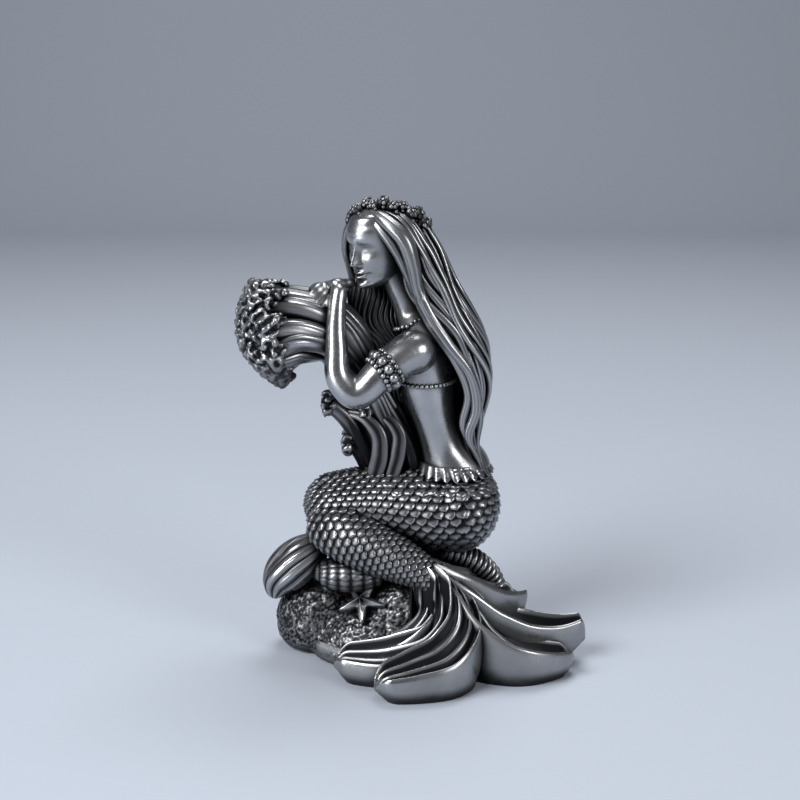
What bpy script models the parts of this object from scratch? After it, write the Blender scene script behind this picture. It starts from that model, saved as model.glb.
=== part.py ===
"""Mermaid figurine: one solid casting of a kneeling mermaid who hugs a bouquet of tube coral on a rock.

The forms are laid over each other like clay and fused into one skin by a voxel Remesh, the way a
sculptor's blocks become one master. Sizes and places are in millimetres, with +X to her back, +Y to
her right-hand side and +Z up. She faces -X. The finished casting is moved so that the centre of its
box's underside is the origin.
"""

from math import cos, pi, radians, sin

import bmesh
import bpy
import numpy as np
from mathutils import Matrix, Vector

MM = 0.001

# Casting
CLAY_VOXEL = 0.5
SOFTEN_STEPS = 2
TRIANGLE_SHARE = 0.0285
TRIM_DEPTH = 30.0

# Torso: centre line from hips to neck, each point with its half depth and half width
TORSO = [
    (15.0, 3.0, 40.0, 10.5, 12.0),
    (14.8, 3.0, 51.0, 9.6, 11.0),
    (12.2, 2.4, 58.0, 6.6, 8.2),
    (9.6, 2.0, 66.0, 6.3, 8.0),
    (7.4, 1.6, 76.0, 7.0, 9.0),
    (6.2, 1.2, 84.0, 6.0, 9.4),
    (4.6, 0.8, 90.0, 4.2, 7.0),
    (2.4, 0.4, 94.5, 3.6, 3.8),
    (-0.4, 0.2, 101.0, 3.3, 3.3),
    (-3.0, 0.5, 107.0, 3.2, 3.3),
]
TORSO_TURN = 14.0
BREAST_RADIUS = 4.0
YOKE = [
    (3.4, -8.4, 84.6, 5.6, 5.4),
    (5.4, -6.6, 86.8, 5.6, 5.2),
    (5.0, -3.6, 89.8, 4.2, 4.4),
    (3.4, 0.4, 92.2, 3.6, 3.8),
    (5.2, 5.4, 90.8, 3.8, 4.0),
    (7.4, 9.4, 88.0, 4.5, 4.5),
    (5.6, 11.0, 85.6, 4.4, 4.4),
]

# Arms: shoulder, elbow, wrist and the palm, with the arm's radius at each
NEAR_ARM = [
    (4.6, -7.6, 86.0, 5.4),
    (-4.5, -11.3, 80.8, 4.4),
    (-12.0, -13.1, 75.6, 3.9),
    (-15.0, -12.6, 78.5, 3.6),
    (-16.2, -10.8, 88.0, 2.9),
    (-16.0, -8.6, 98.0, 2.3),
    (-15.2, -6.4, 103.0, 2.2),
]
FAR_ARM = [
    (7.5, 9.5, 87.0, 4.2),
    (-1.0, 14.0, 81.0, 3.7),
    (-8.5, 15.5, 77.5, 3.4),
    (-12.0, 14.0, 81.0, 3.2),
    (-15.5, 9.5, 90.5, 2.8),
    (-17.5, 4.5, 98.5, 2.3),
    (-18.5, 0.5, 101.5, 2.1),
]
# Hands: the palm's centre, the run of the middle finger and the direction from first to last finger
NEAR_HAND = ((-15.6, -4.8, 102.6), (2.2, 4.6, -1.8), (0.9, -0.4, 0.1))
FAR_HAND = ((-18.4, -2.6, 100.8), (-4.2, -4.8, -3.6), (0.75, -0.35, -0.55))
PALM_RADIUS = 2.6
FINGER_RADIUS = 1.0
FINGER_LENGTHS = (0.88, 1.05, 1.0, 0.82)
FINGER_PITCH = 1.55
FINGER_ARCH = 1.1

# Head: its sections from chin to crown in the face's own frame, with the eyes halfway up.
# Each row is a height and the half width, the front depth and the back depth there.
HEAD_CENTRE = (-5.4, 0.3, 112.8)
HEAD_TURN = 35.0
HEAD_BOW = 10.0
HEAD_SECTIONS = [
    (-10.8, 1.6, 6.2, -2.0),
    (-10.0, 3.2, 7.9, -0.5),
    (-9.0, 4.3, 8.5, 1.5),
    (-7.6, 5.2, 8.2, 4.0),
    (-5.4, 6.1, 8.5, 6.0),
    (-2.6, 6.9, 8.3, 7.6),
    (0.4, 7.2, 8.3, 8.4),
    (3.4, 7.2, 8.7, 8.8),
    (6.4, 6.4, 7.8, 8.2),
    (8.8, 4.6, 5.6, 6.0),
    (10.6, 1.2, 1.6, 1.6),
]
# Features: side offset, height, half width, half height and relief, the first group on both sides
PAIRED_FEATURES = [
    (2.9, 0.1, 1.9, 1.5, -1.15),
    (2.9, 0.0, 1.35, 0.85, 0.95),
    (2.9, 2.3, 2.2, 0.7, 0.35),
    (4.6, -2.8, 2.0, 1.9, 0.35),
    (1.25, -3.9, 0.6, 0.55, 0.75),
]
CENTRE_FEATURES = [
    (0.0, -0.6, 0.9, 1.7, 0.9),
    (0.0, -2.6, 0.95, 1.4, 1.5),
    (0.0, -3.6, 0.9, 0.7, 0.9),
    (0.0, -6.0, 1.9, 0.45, 0.75),
    (0.0, -7.2, 1.5, 0.5, 0.75),
    (0.0, -9.5, 1.8, 1.1, 0.5),
]

# Hair: guide curves from the parting to the tips, from the near edge round the back to the far edge
HAIR_GUIDES = [
    [
        (-8.6, -4.0, 120.4), (-3.4, -7.4, 117.6), (0.8, -8.0, 110.5), (2.4, -6.5, 103.0), (5.6, -6.5, 95.5),
        (10.4, -7.5, 88.0), (15.4, -7.0, 79.5), (17.0, -6.0, 70.0), (15.8, -5.0, 62.5), (19.6, -4.5, 55.0),
    ],
    [
        (-6.0, -2.0, 122.4), (1.0, -6.0, 119.0), (5.4, -7.2, 111.0), (8.2, -7.4, 103.0), (12.2, -7.8, 95.5),
        (17.0, -8.2, 87.0), (20.2, -7.6, 78.0), (20.0, -6.3, 69.0), (18.0, -5.0, 61.0), (20.8, -4.0, 53.5),
    ],
    [
        (-4.5, 0.3, 123.2), (3.0, 0.3, 120.4), (8.2, 0.5, 113.0), (13.0, 1.0, 104.0), (18.2, 1.5, 95.5),
        (22.4, 2.0, 86.5), (22.9, 2.0, 76.5), (20.8, 2.0, 67.5), (18.6, 2.0, 59.0), (21.2, 2.0, 52.5),
    ],
    [
        (-6.0, 3.1, 121.8), (0.6, 7.0, 118.5), (5.4, 8.5, 111.0), (8.4, 9.6, 103.0), (12.0, 11.0, 95.5),
        (16.4, 11.6, 86.5), (18.8, 11.2, 77.0), (18.0, 10.0, 68.0), (16.2, 9.0, 60.0), (18.4, 8.0, 53.0),
    ],
    [
        (-8.6, 5.0, 119.0), (-4.6, 8.2, 115.0), (-1.4, 9.0, 109.0), (1.4, 9.6, 102.0), (5.2, 12.4, 95.5),
        (10.5, 13.4, 87.0), (14.2, 12.6, 78.0), (14.8, 11.0, 69.0), (14.2, 9.5, 61.0), (17.0, 8.4, 54.0),
    ],
]
HAIR_DEPTH = 4.5
LOCK_COUNT = 15
LOCK_RADIUS = 1.35
LOCK_WAVE = 1.1
LOCK_WAVES = 2.6
FRONT_HAIR = [
    (-8.6, 5.6, 118.0, 1.2, 2.0), (-8.0, 7.4, 110.0, 2.0, 2.4), (-8.2, 6.2, 102.0, 5.2, 3.0),
    (-7.0, 4.6, 94.0, 6.2, 3.4), (-4.6, 3.2, 86.0, 6.4, 3.6), (-3.6, 2.6, 78.0, 6.0, 3.4),
    (-2.6, 3.0, 70.0, 5.0, 3.2),
]
FRONT_LOCK_COUNT = 8
FRONT_LOCK_RADIUS = 1.2
# Locks that frame the face, each point with the lock's radius
FACE_LOCKS = [
    [
        (-7.6, -3.2, 121.6, 1.3), (-3.2, -7.4, 118.8, 2.0), (1.2, -9.4, 114.4, 2.3), (3.2, -9.4, 108.4, 2.1),
        (4.4, -8.2, 102.4, 1.8), (7.4, -8.6, 95.6, 1.7), (12.2, -9.4, 88.2, 1.6), (17.0, -8.8, 79.6, 1.5),
        (18.2, -7.6, 70.0, 1.5), (16.6, -6.8, 62.4, 1.4), (20.6, -6.2, 55.4, 0.9),
    ],
    [
        (-8.8, -3.4, 120.6, 1.0), (-5.4, -7.0, 117.6, 1.3), (-1.2, -8.8, 112.2, 1.4),
        (2.0, -8.2, 105.6, 1.3), (4.6, -7.0, 99.0, 1.2), (8.4, -8.0, 91.6, 1.2), (13.0, -8.8, 83.6, 1.3),
        (15.8, -7.8, 74.0, 1.3), (14.8, -6.6, 65.4, 1.2), (17.4, -6.0, 57.4, 0.8),
    ],
    [
        (-9.8, -0.6, 121.2, 1.0), (-12.8, 0.6, 117.4, 1.3), (-14.2, 2.4, 111.4, 1.3),
        (-12.9, 4.6, 104.8, 1.3), (-11.2, 4.4, 98.4, 1.2), (-9.2, 2.2, 91.6, 0.8),
    ],
]
WREATH_CENTRE = (-3.2, 0.6, 117.6)
WREATH_RADII = (9.9, 7.9)
WREATH_RISE = 52.0
WREATH_TILT = 8.0
WREATH_RADIUS = 1.6
WREATH_BULK = 0.4
WREATH_BULK_ANGLE = 0.4
WREATH_BEADS = 26

# Tail: hips and thigh to the knee, then folded back to the root of the fluke
HIPS_CENTRE = (14.6, 3.0, 40.8)
HIPS_RADII = (11.9, 12.4, 12.6)
THIGH = [
    (16.0, 3.0, 40.2, 9.0, 10.0),
    (11.0, 2.6, 40.4, 11.8, 12.0),
    (3.0, 1.6, 41.2, 10.6, 11.0),
    (-7.0, 0.4, 42.4, 9.2, 9.6),
    (-16.0, -0.8, 42.4, 8.2, 8.6),
    (-25.4, -1.6, 42.0, 6.6, 7.4),
]
SHIN = [
    (-22.6, -2.6, 41.0, 5.4, 6.6),
    (-16.4, -6.2, 37.4, 7.2, 7.4),
    (-8.4, -9.2, 33.2, 6.6, 6.6),
    (1.0, -11.4, 29.2, 5.2, 5.2),
    (7.4, -12.6, 25.8, 3.9, 3.9),
    (11.0, -13.4, 23.0, 3.2, 3.2),
]
FRILL_MIDDLE = 53.2
FRILL_HEIGHT = 2.4
FRILL_WAVES = 24
FRILL_DEPTH = 0.8

# Fluke: petals from the root to their blunt tips, each point with its half width and the lift of its edges
PETALS = [
    [
        (5.0, -12.6, 28.0, 2.2, 0.2), (9.0, -14.6, 21.6, 3.2, 0.8), (5.6, -16.0, 14.6, 4.2, 1.2),
        (-5.0, -15.2, 9.8, 4.6, 1.3), (-14.0, -11.2, 7.8, 4.6, 1.2), (-24.4, -2.6, 5.2, 4.4, 0.6),
    ],
    [
        (6.0, -13.0, 28.4, 2.4, 0.2), (12.0, -16.4, 21.8, 3.6, 1.0), (10.6, -20.8, 14.6, 4.4, 1.5),
        (2.0, -22.8, 9.6, 4.4, 1.7), (-7.0, -22.4, 7.6, 4.2, 1.6), (-18.8, -20.2, 6.4, 3.8, 1.0),
    ],
    [
        (7.0, -13.2, 28.8, 2.4, 0.2), (15.0, -17.0, 22.0, 3.8, 1.4), (16.0, -23.0, 14.4, 4.8, 2.2),
        (9.6, -28.4, 9.0, 5.2, 2.4), (2.4, -31.4, 6.8, 5.0, 2.0), (-6.6, -33.4, 5.8, 4.0, 1.2),
    ],
    [
        (8.0, -13.0, 29.0, 2.4, 0.2), (16.8, -16.2, 22.0, 3.8, 1.4), (24.4, -19.6, 12.6, 5.4, 2.8),
        (32.0, -20.4, 7.4, 5.8, 3.4), (39.0, -18.4, 5.4, 4.8, 3.0), (46.0, -15.6, 5.2, 2.8, 1.6),
    ],
    [
        (8.4, -12.4, 29.2, 2.4, 0.2), (17.2, -12.4, 22.6, 3.8, 1.2), (25.6, -10.6, 14.4, 5.2, 2.6),
        (34.0, -8.8, 9.4, 5.6, 3.4), (42.4, -8.0, 8.4, 4.2, 3.0), (50.2, -7.4, 11.6, 1.9, 0.9),
    ],
    [
        (8.4, -11.6, 29.4, 2.4, 0.2), (16.4, -8.2, 24.2, 3.6, 1.4), (22.8, -4.2, 18.6, 4.4, 2.4),
        (27.6, -1.0, 15.0, 4.4, 3.2), (31.2, 1.8, 14.4, 3.8, 2.8), (34.6, 4.6, 17.4, 2.8, 0.8),
    ],
    [
        (8.0, -10.8, 29.0, 2.4, 0.2), (13.8, -2.0, 24.0, 3.8, 0.8), (18.6, 8.0, 18.8, 5.0, 1.2),
        (23.4, 16.0, 13.4, 5.4, 1.6), (28.4, 21.6, 8.8, 4.6, 1.6), (33.4, 26.0, 6.0, 3.2, 1.0),
    ],
]
RIBS_PER_PETAL = 3
RIB_DEPTH = 1.5
PETAL_BULGE = 0.7
PETAL_UNDERCUT = 1.2
TIP_OVERHANG = 0.45
# Ridge behind the fluke, with a row of teeth across it
COMB = [
    (11.0, -2.0, 29.0, 2.6), (16.0, 0.6, 27.0, 3.2), (21.0, 3.2, 23.6, 3.2), (25.0, 5.4, 19.4, 2.8),
    (27.6, 7.0, 14.6, 2.2),
]
COMB_TEETH = 13
COMB_DEPTH = 0.16

# Base: the rock with its sand, and what lies on it
ROCKS = [
    ((-5.0, 13.0, 2.0), (26.5, 20.0, 17.0)),
    ((-3.0, 0.0, 1.0), (22.0, 17.5, 16.0)),
    ((6.0, 4.0, 14.0), (17.0, 14.0, 15.0)),
    ((-22.0, 3.0, 8.0), (12.0, 10.0, 13.0)),
]
STARFISH_CENTRE = (-10.2, -9.8, 17.8)
STARFISH_REACH = 6.8
STARFISH_ARMS = 5
STARFISH_ARM_RADIUS = 1.6
SCALLOP_CENTRE = (-13.0, -6.4, 24.6)
SCALLOP_RADII = (9.6, 6.6, 4.8)
SCALLOP_RIBS = 8
CONCH = [
    (-18.6, -0.6, 32.0, 2.2), (-24.0, -1.4, 29.0, 4.6), (-29.4, -2.0, 25.0, 5.6), (-33.2, -2.0, 20.6, 4.8),
    (-34.6, -2.0, 15.4, 2.6),
]
CONCH_LINES = 11
CONCH_LINE_RADIUS = 0.7

# Coral: a bundle of tubes along one path, each point with the bundle's radius
BOUQUET = [
    (0.0, 9.0, 8.0, 7.4),
    (-0.6, 8.8, 26.0, 7.2),
    (-0.8, 7.0, 42.0, 7.6),
    (-1.4, 5.6, 55.0, 8.0),
    (-6.0, 4.4, 68.0, 7.2),
    (-11.6, 2.4, 80.0, 6.8),
    (-17.8, -0.6, 89.0, 7.0),
    (-25.8, -3.8, 91.4, 9.0),
    (-34.6, -5.0, 89.6, 12.0),
]
BUNDLE_ACROSS = (0.3, 1.0, 0.1)
OUTER_TUBES = 11
INNER_TUBES = 5
TUBE_RADIUS = 2.1
TUBE_WANDER = 0.7
POLYP_RADIUS = 1.75
POLYP_COUNT = 84
RIM_COUNT = 30
RIM_REACH = 7.0
RIM_SPREAD = 1.06
STUB_POLYPS = 7
STUBS = [
    [(-6.5, 3.0, 50.0, 2.4), (-10.4, 1.0, 59.0, 2.5), (-14.4, 0.0, 66.0, 2.5), (-18.6, -0.6, 70.0, 2.2)],
    [(-2.0, 2.4, 51.0, 2.4), (-2.6, 0.6, 60.0, 2.4), (-5.4, -0.4, 66.6, 2.2), (-8.6, -0.8, 68.4, 1.8)],
    [(-8.0, 4.4, 49.0, 2.2), (-10.6, 3.0, 55.0, 2.1), (-13.4, 1.4, 58.8, 1.7)],
]

# Jewellery
BEAD_RADIUS = 0.62
BEAD_PITCH = 1.25
ARMBAND_PLACE = 0.21
STRAP_HEIGHT = 76.4
NECKLACE_HEIGHT = 94.0
# Bead strings that hang from the strap: angle from the chest's middle and length
DROPS = [(62.0, 11.0), (74.0, 14.0), (86.0, 12.0)]


def unit(vector):
    """The vector at length one."""
    return np.asarray(vector, float) / np.linalg.norm(vector)


def smooth_curve(points, count):
    """count samples of a smooth curve through the points. Columns after x, y, z follow along."""
    values = np.array(points, float)
    knots = np.r_[0.0, np.cumsum(np.linalg.norm(np.diff(values[:, :3], axis=0), axis=1))]
    slopes = np.gradient(values, knots, axis=0)
    at = np.linspace(0.0, knots[-1], count)
    index = np.clip(np.searchsorted(knots, at, side="right") - 1, 0, len(knots) - 2)
    span = (knots[index + 1] - knots[index])[:, None]
    t = (at - knots[index])[:, None] / span
    return (
        (2 * t**3 - 3 * t**2 + 1) * values[index]
        + (t**3 - 2 * t**2 + t) * slopes[index] * span
        + (3 * t**2 - 2 * t**3) * values[index + 1]
        + (t**3 - t**2) * slopes[index + 1] * span
    )


def add_mesh(clay, points, faces):
    """Adds a closed surface, given in millimetres, to the clay."""
    made = [clay.verts.new(Vector(p) * MM) for p in points]
    for face in faces:
        clay.faces.new([made[i] for i in face])


def add_rings(clay, rings):
    """Skins a row of rings with the same number of points, and closes both ends."""
    rings = np.asarray(rings)
    steps, sides = rings.shape[:2]
    points = rings.reshape(-1, 3)
    faces = [tuple(range(sides))[::-1], tuple((steps - 1) * sides + j for j in range(sides))]
    for i in range(steps - 1):
        for j in range(sides):
            k = (j + 1) % sides
            faces.append((i * sides + j, i * sides + k, (i + 1) * sides + k, (i + 1) * sides + j))
    add_mesh(clay, points, faces)


def frames_along(centres, across):
    """At each point of a centre line: the side direction nearest to across, and the one square to it."""
    tangents = np.gradient(centres, axis=0)
    tangents /= np.linalg.norm(tangents, axis=1)[:, None]
    across = np.broadcast_to(np.asarray(across, float), centres.shape)
    side = across - (across * tangents).sum(1)[:, None] * tangents
    side /= np.linalg.norm(side, axis=1)[:, None]
    return side, np.cross(tangents, side)


def add_limb(clay, points, across, sides=24, steps=40):
    """A limb of oval section with domed ends. Its points end in the half depth and the half width."""
    path = smooth_curve(points, steps)
    run = np.r_[0.0, np.cumsum(np.linalg.norm(np.diff(path[:, :3], axis=0), axis=1))]
    to_end = np.minimum(run / path[0, 3], (run[-1] - run) / path[-1, 3])
    swell = np.sqrt(np.clip(1 - (1 - np.clip(to_end, 0.01, 1)) ** 2, 0, 1))
    side, normal = frames_along(path[:, :3], across)
    angles = np.linspace(0, 2 * pi, sides, endpoint=False)
    depth = (path[:, 3] * swell)[:, None, None] * np.cos(angles)[None, :, None]
    width = (path[:, 4] * swell)[:, None, None] * np.sin(angles)[None, :, None]
    add_rings(clay, path[:, None, :3] + depth * normal[:, None, :] + width * side[:, None, :])


def unit_ball(fineness):
    """Points and faces of a ball of radius one."""
    ball = bmesh.new()
    bmesh.ops.create_icosphere(ball, subdivisions=fineness, radius=1.0)
    points = np.array([v.co for v in ball.verts])
    faces = [[v.index for v in face.verts] for face in ball.faces]
    ball.free()
    return points, faces


def add_ball(clay, centre, radii, axes=None):
    """An ellipsoid with its radii along the given axes, or along X, Y and Z."""
    points, faces = LARGE_BALL if np.max(radii) > BEAD_LIMIT else SMALL_BALL
    turn = np.eye(3) if axes is None else np.array(axes)
    add_mesh(clay, np.array(centre, float) + (points * radii) @ turn, faces)


BEAD_LIMIT = 4.5
SMALL_BALL = unit_ball(2)
LARGE_BALL = unit_ball(4)


def add_tubes(clay, paths, steps=28, bevel=3):
    """Round tubes along paths whose points end in the radius, as one bevelled curve with filled caps."""
    data = bpy.data.curves.new("tubes", "CURVE")
    data.dimensions = "3D"
    data.bevel_depth = MM
    data.bevel_resolution = bevel
    data.use_fill_caps = True
    for path in paths:
        samples = smooth_curve(path, steps)
        spline = data.splines.new("POLY")
        spline.points.add(steps - 1)
        for point, sample in zip(spline.points, samples):
            point.co = (*(sample[:3] * MM), 1.0)
            point.radius = max(sample[3], 0.2)
    curve = bpy.data.objects.new("tubes", data)
    bpy.context.scene.collection.objects.link(curve)
    graph = bpy.context.evaluated_depsgraph_get()
    mesh = bpy.data.meshes.new_from_object(curve.evaluated_get(graph))
    tubes = bmesh.new()
    tubes.from_mesh(mesh)
    bmesh.ops.remove_doubles(tubes, verts=tubes.verts, dist=1e-7)
    tubes.to_mesh(mesh)
    tubes.free()
    clay.from_mesh(mesh)
    bpy.data.objects.remove(curve)
    bpy.data.curves.remove(data)
    bpy.data.meshes.remove(mesh)


def torso_axes():
    """Unit directions of her chest and of her left side."""
    turn = radians(TORSO_TURN)
    chest = np.array([-cos(turn), sin(turn), 0.0])
    return chest, np.array([-chest[1], chest[0], 0.0])


def torso_at(height):
    """The torso's centre, half depth and half width at a height."""
    samples = smooth_curve(TORSO, 200)
    found = samples[np.argmin(abs(samples[:, 2] - height))]
    return found[:3], found[3], found[4]


def face_axes():
    """Unit directions of her face: left, forward and up."""
    turn, bow = radians(HEAD_TURN), radians(HEAD_BOW)
    forward = np.array([-cos(turn) * cos(bow), -sin(turn) * cos(bow), -sin(bow)])
    left = unit(np.cross((0.0, 0.0, 1.0), forward))
    return left, forward, np.cross(forward, left)


def on_face(left, forward, up):
    """A place given from the head's centre along the face's own axes."""
    axes = face_axes()
    return np.array(HEAD_CENTRE) + left * axes[0] + forward * axes[1] + up * axes[2]


def model_torso(clay):
    """Torso, neck and breasts."""
    chest, left = torso_axes()
    add_limb(clay, TORSO, -left, steps=60)
    centre, depth, width = torso_at(STRAP_HEIGHT + 3.0)
    for side in (-1, 1):
        place = centre + chest * depth * 0.72 + left * side * width * 0.42
        add_ball(clay, place, BREAST_RADIUS)
    add_limb(clay, YOKE, chest)


def finger_paths(hand):
    """The fingers and the thumb of a hand, arched over what it holds, each point with its radius."""
    palm, run, spread = np.array(hand[0]), np.array(hand[1]), unit(hand[2])
    arch = unit(np.cross(run, spread)) * FINGER_ARCH
    if arch[2] < 0:
        arch = -arch
    fingers = []
    for i, length in enumerate(FINGER_LENGTHS):
        root = palm + spread * FINGER_PITCH * (i - (len(FINGER_LENGTHS) - 1) / 2)
        bend = root + run * length * 0.4 + arch
        ends = [root, bend, root + run * length * 0.75 + arch * 0.6, root + run * length]
        fingers.append([(*p, FINGER_RADIUS * size) for p, size in zip(ends, (1.1, 1.0, 0.9, 0.75))])
    thumb = palm - spread * 2.0
    ends = [thumb, thumb - spread * 1.2 + run * 0.25, thumb - spread * 1.4 + run * 0.55]
    fingers.append([(*p, FINGER_RADIUS * size) for p, size in zip(ends, (1.1, 1.0, 0.8))])
    return fingers


def model_arm(clay, arm, hand):
    """An arm along its path, its palm, and the fingers that start in the palm."""
    add_tubes(clay, [arm], steps=40, bevel=5)
    run, spread = unit(hand[1]), unit(hand[2])
    thick = unit(np.cross(run, spread))
    flat = (PALM_RADIUS * 1.25, PALM_RADIUS, PALM_RADIUS * 0.6)
    add_ball(clay, hand[0], flat, (run, np.cross(thick, run), thick))
    add_tubes(clay, finger_paths(hand), steps=10)


def relief_at(side, up):
    """How far the face's features stand out of the plain head at a place on its front."""
    total = np.zeros_like(side)
    features = [(sign * f[0], *f[1:]) for f in PAIRED_FEATURES for sign in (-1, 1)] + CENTRE_FEATURES
    for at_side, at_up, wide, high, stand in features:
        total += stand * np.exp(-(((side - at_side) / wide) ** 2) - ((up - at_up) / high) ** 2)
    return total


def model_head(clay):
    """The head as a stack of sections, with the features raised from its front."""
    sections = smooth_curve([(row[1], row[2], row[3], row[0]) for row in HEAD_SECTIONS], 64)
    angles = np.linspace(0, 2 * pi, 72, endpoint=False)
    rings = []
    for half, front, back, up in sections:
        side = half * np.sin(angles)
        ahead = np.cos(angles)
        reach = np.where(ahead > 0, front, back) * ahead
        face = np.clip(2 * ahead, 0, 1)
        reach = reach + face * relief_at(side, np.full_like(side, up))
        rings.append([on_face(x, y, up) for x, y in zip(side, reach)])
    add_rings(clay, rings)


def hair_surface(across_count, down_count):
    """Points of the hair's outer surface, from the near edge to the far one and from parting to tips."""
    down = np.array([smooth_curve(guide, down_count) for guide in HAIR_GUIDES])
    across = [smooth_curve(down[:, j], across_count) for j in range(down_count)]
    return np.array(across).transpose(1, 0, 2)


def front_locks():
    """Waved locks over the near side of the hair that falls in front, each point with its radius."""
    path = smooth_curve(FRONT_HAIR, 40)
    side, normal = frames_along(path[:, :3], (0.0, 1.0, 0.0))
    q = np.linspace(0, 1, 40)
    radius = FRONT_LOCK_RADIUS * np.interp(q, (0, 0.2, 0.85, 1), (0.5, 1.0, 1.0, 0.4))
    locks = []
    for i in range(FRONT_LOCK_COUNT):
        angle = -pi * (i + 0.5) / FRONT_LOCK_COUNT + 0.35 * np.sin(2 * pi * (2.2 * q + 0.31 * i))
        depth = (path[:, 3] * np.cos(angle))[:, None] * normal
        width = (path[:, 4] * np.sin(angle))[:, None] * side
        locks.append(np.column_stack([path[:, :3] + depth + width, radius]))
    return locks


def model_hair(clay):
    """The hair's body as a thick sheet, with locks along it, and the hair in front of the far shoulder."""
    surface = hair_surface(13, 40)
    du = np.gradient(surface, axis=0)
    dv = np.gradient(surface, axis=1)
    inward = np.cross(du, dv)
    inward /= np.linalg.norm(inward, axis=2)[:, :, None]
    inner = surface + inward * HAIR_DEPTH
    rings = [np.concatenate([surface[:, j], inner[::-1, j]]) for j in range(surface.shape[1])]
    add_rings(clay, rings)
    locks = []
    fine = hair_surface(LOCK_COUNT, 40)
    sideways = np.gradient(fine, axis=0)
    sideways /= np.linalg.norm(sideways, axis=2)[:, :, None]
    q = np.linspace(0, 1, 40)
    taper = np.interp(q, (0, 0.15, 0.85, 1), (0.7, 1.0, 1.0, 0.35))
    for i, strand in enumerate(fine):
        grow = LOCK_WAVE * np.interp(q, (0, 0.35, 1), (0.1, 0.6, 1.0))
        wave = grow * np.sin(2 * pi * (LOCK_WAVES * q + 0.13 * i))
        waved = strand + sideways[i] * wave[:, None]
        locks.append([(*p, LOCK_RADIUS * t) for p, t in zip(waved, taper)])
    add_tubes(clay, locks, steps=60)
    add_limb(clay, FRONT_HAIR, (0.0, 1.0, 0.0))
    add_tubes(clay, front_locks(), steps=50)
    add_tubes(clay, FACE_LOCKS, steps=50)


def model_wreath(clay):
    """A band of small flowers round the head, worn high on her left."""
    rise, tilt = radians(WREATH_RISE), radians(WREATH_TILT)
    across = np.array([cos(tilt), 0.0, -sin(tilt)])
    near = np.array([0.0, -cos(rise), sin(rise)])
    for i in range(WREATH_BEADS):
        angle = 2 * pi * i / WREATH_BEADS
        offset = WREATH_RADII[0] * cos(angle) * across + WREATH_RADII[1] * sin(angle) * near
        bulk = 1 + WREATH_BULK * np.exp(-((angle - WREATH_BULK_ANGLE) ** 2) / 0.3)
        add_ball(clay, np.array(WREATH_CENTRE) + offset, WREATH_RADIUS * bulk)


def model_tail(clay):
    """Hips, thigh and shin. Thigh and shin touch along the fold behind the knee."""
    add_ball(clay, HIPS_CENTRE, HIPS_RADII)
    across = (-0.1, 1.0, 0.0)
    add_limb(clay, THIGH, across, sides=32, steps=60)
    add_limb(clay, SHIN, (0.4, 1.0, 0.3), sides=24, steps=40)


def model_frill(clay):
    """The waved upper edge of the tail, round the waist."""
    rings = []
    angles = np.linspace(0, 2 * pi, FRILL_WAVES * 6, endpoint=False)
    chest, left = torso_axes()
    for height, grow in ((-FRILL_HEIGHT, 0.3), (0.0, 0.6), (FRILL_HEIGHT * 0.3, 0.2)):
        centre, depth, width = torso_at(FRILL_MIDDLE + height)
        wave = grow + FRILL_DEPTH * (1 + np.cos(angles * FRILL_WAVES)) / 2
        forward = np.outer((depth + wave) * np.cos(angles), chest)
        rings.append(centre + forward + np.outer((width + wave) * np.sin(angles), left))
    add_rings(clay, rings)


def petal_rings(points, steps, sides):
    """Sections of one petal: ribs between raised edges above, bulging walls below, and a blunt tip."""
    path = smooth_curve(points, steps)
    tangent = np.gradient(path[:, :2], axis=0)
    tangent /= np.linalg.norm(tangent, axis=1)[:, None]
    side = np.stack([-tangent[:, 1], tangent[:, 0]], axis=1)
    run = np.r_[0.0, np.cumsum(np.linalg.norm(np.diff(path[:, :3], axis=0), axis=1))]
    to_tip = np.clip((run[-1] - run) / path[-1, 3], 0.02, 1)
    dome = np.sqrt(1 - (1 - to_tip) ** 2)
    u = np.linspace(-1, 1, sides)
    valley = 1 - np.abs(np.cos(pi * RIBS_PER_PETAL * (u + 1) / 2))
    rings = []
    for place, along, across, v, end in zip(path, tangent, side, run / run[-1], dome):
        shown = min(1.0, 4 * v + 0.3) * np.clip((end - 0.7) / 0.3, 0, 1)
        sunk = RIB_DEPTH * valley * shown
        height = (place[2] + place[4] * u**2 - sunk) * (0.45 + 0.55 * end)
        half = place[3] * end
        top = np.column_stack([place[:2] + np.outer(u * half, across), height])
        foot_u = u[::-1]
        middle = np.column_stack([
            place[:2] + np.outer(foot_u * (half + PETAL_BULGE * end), across),
            np.full(sides, height[0] * 0.45),
        ])
        foot = np.column_stack([
            place[:2] + np.outer(foot_u * max(half - PETAL_UNDERCUT, 0.2), across),
            np.full(sides, -2.0),
        ])
        pull = TIP_OVERHANG * place[2] * np.clip((v - 0.75) / 0.25, 0, 1)
        middle[:, :2] -= along * pull * 0.4
        foot[:, :2] -= along * pull
        walls = np.concatenate([middle[:1], foot, middle[-1:]])
        rings.append(np.concatenate([top, walls]))
    return rings


def model_fluke(clay):
    """The ribbed petals of the tail fin, which spread over the front and right of the base, and the comb."""
    for petal in PETALS:
        add_rings(clay, petal_rings(petal, steps=50, sides=37))
    comb = smooth_curve(COMB, COMB_TEETH * 8)
    teeth = 1 + COMB_DEPTH * np.cos(2 * pi * COMB_TEETH * np.linspace(0, 1, len(comb)))
    comb[:, 3] *= teeth
    add_tubes(clay, [comb], steps=len(comb), bevel=5)


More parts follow.
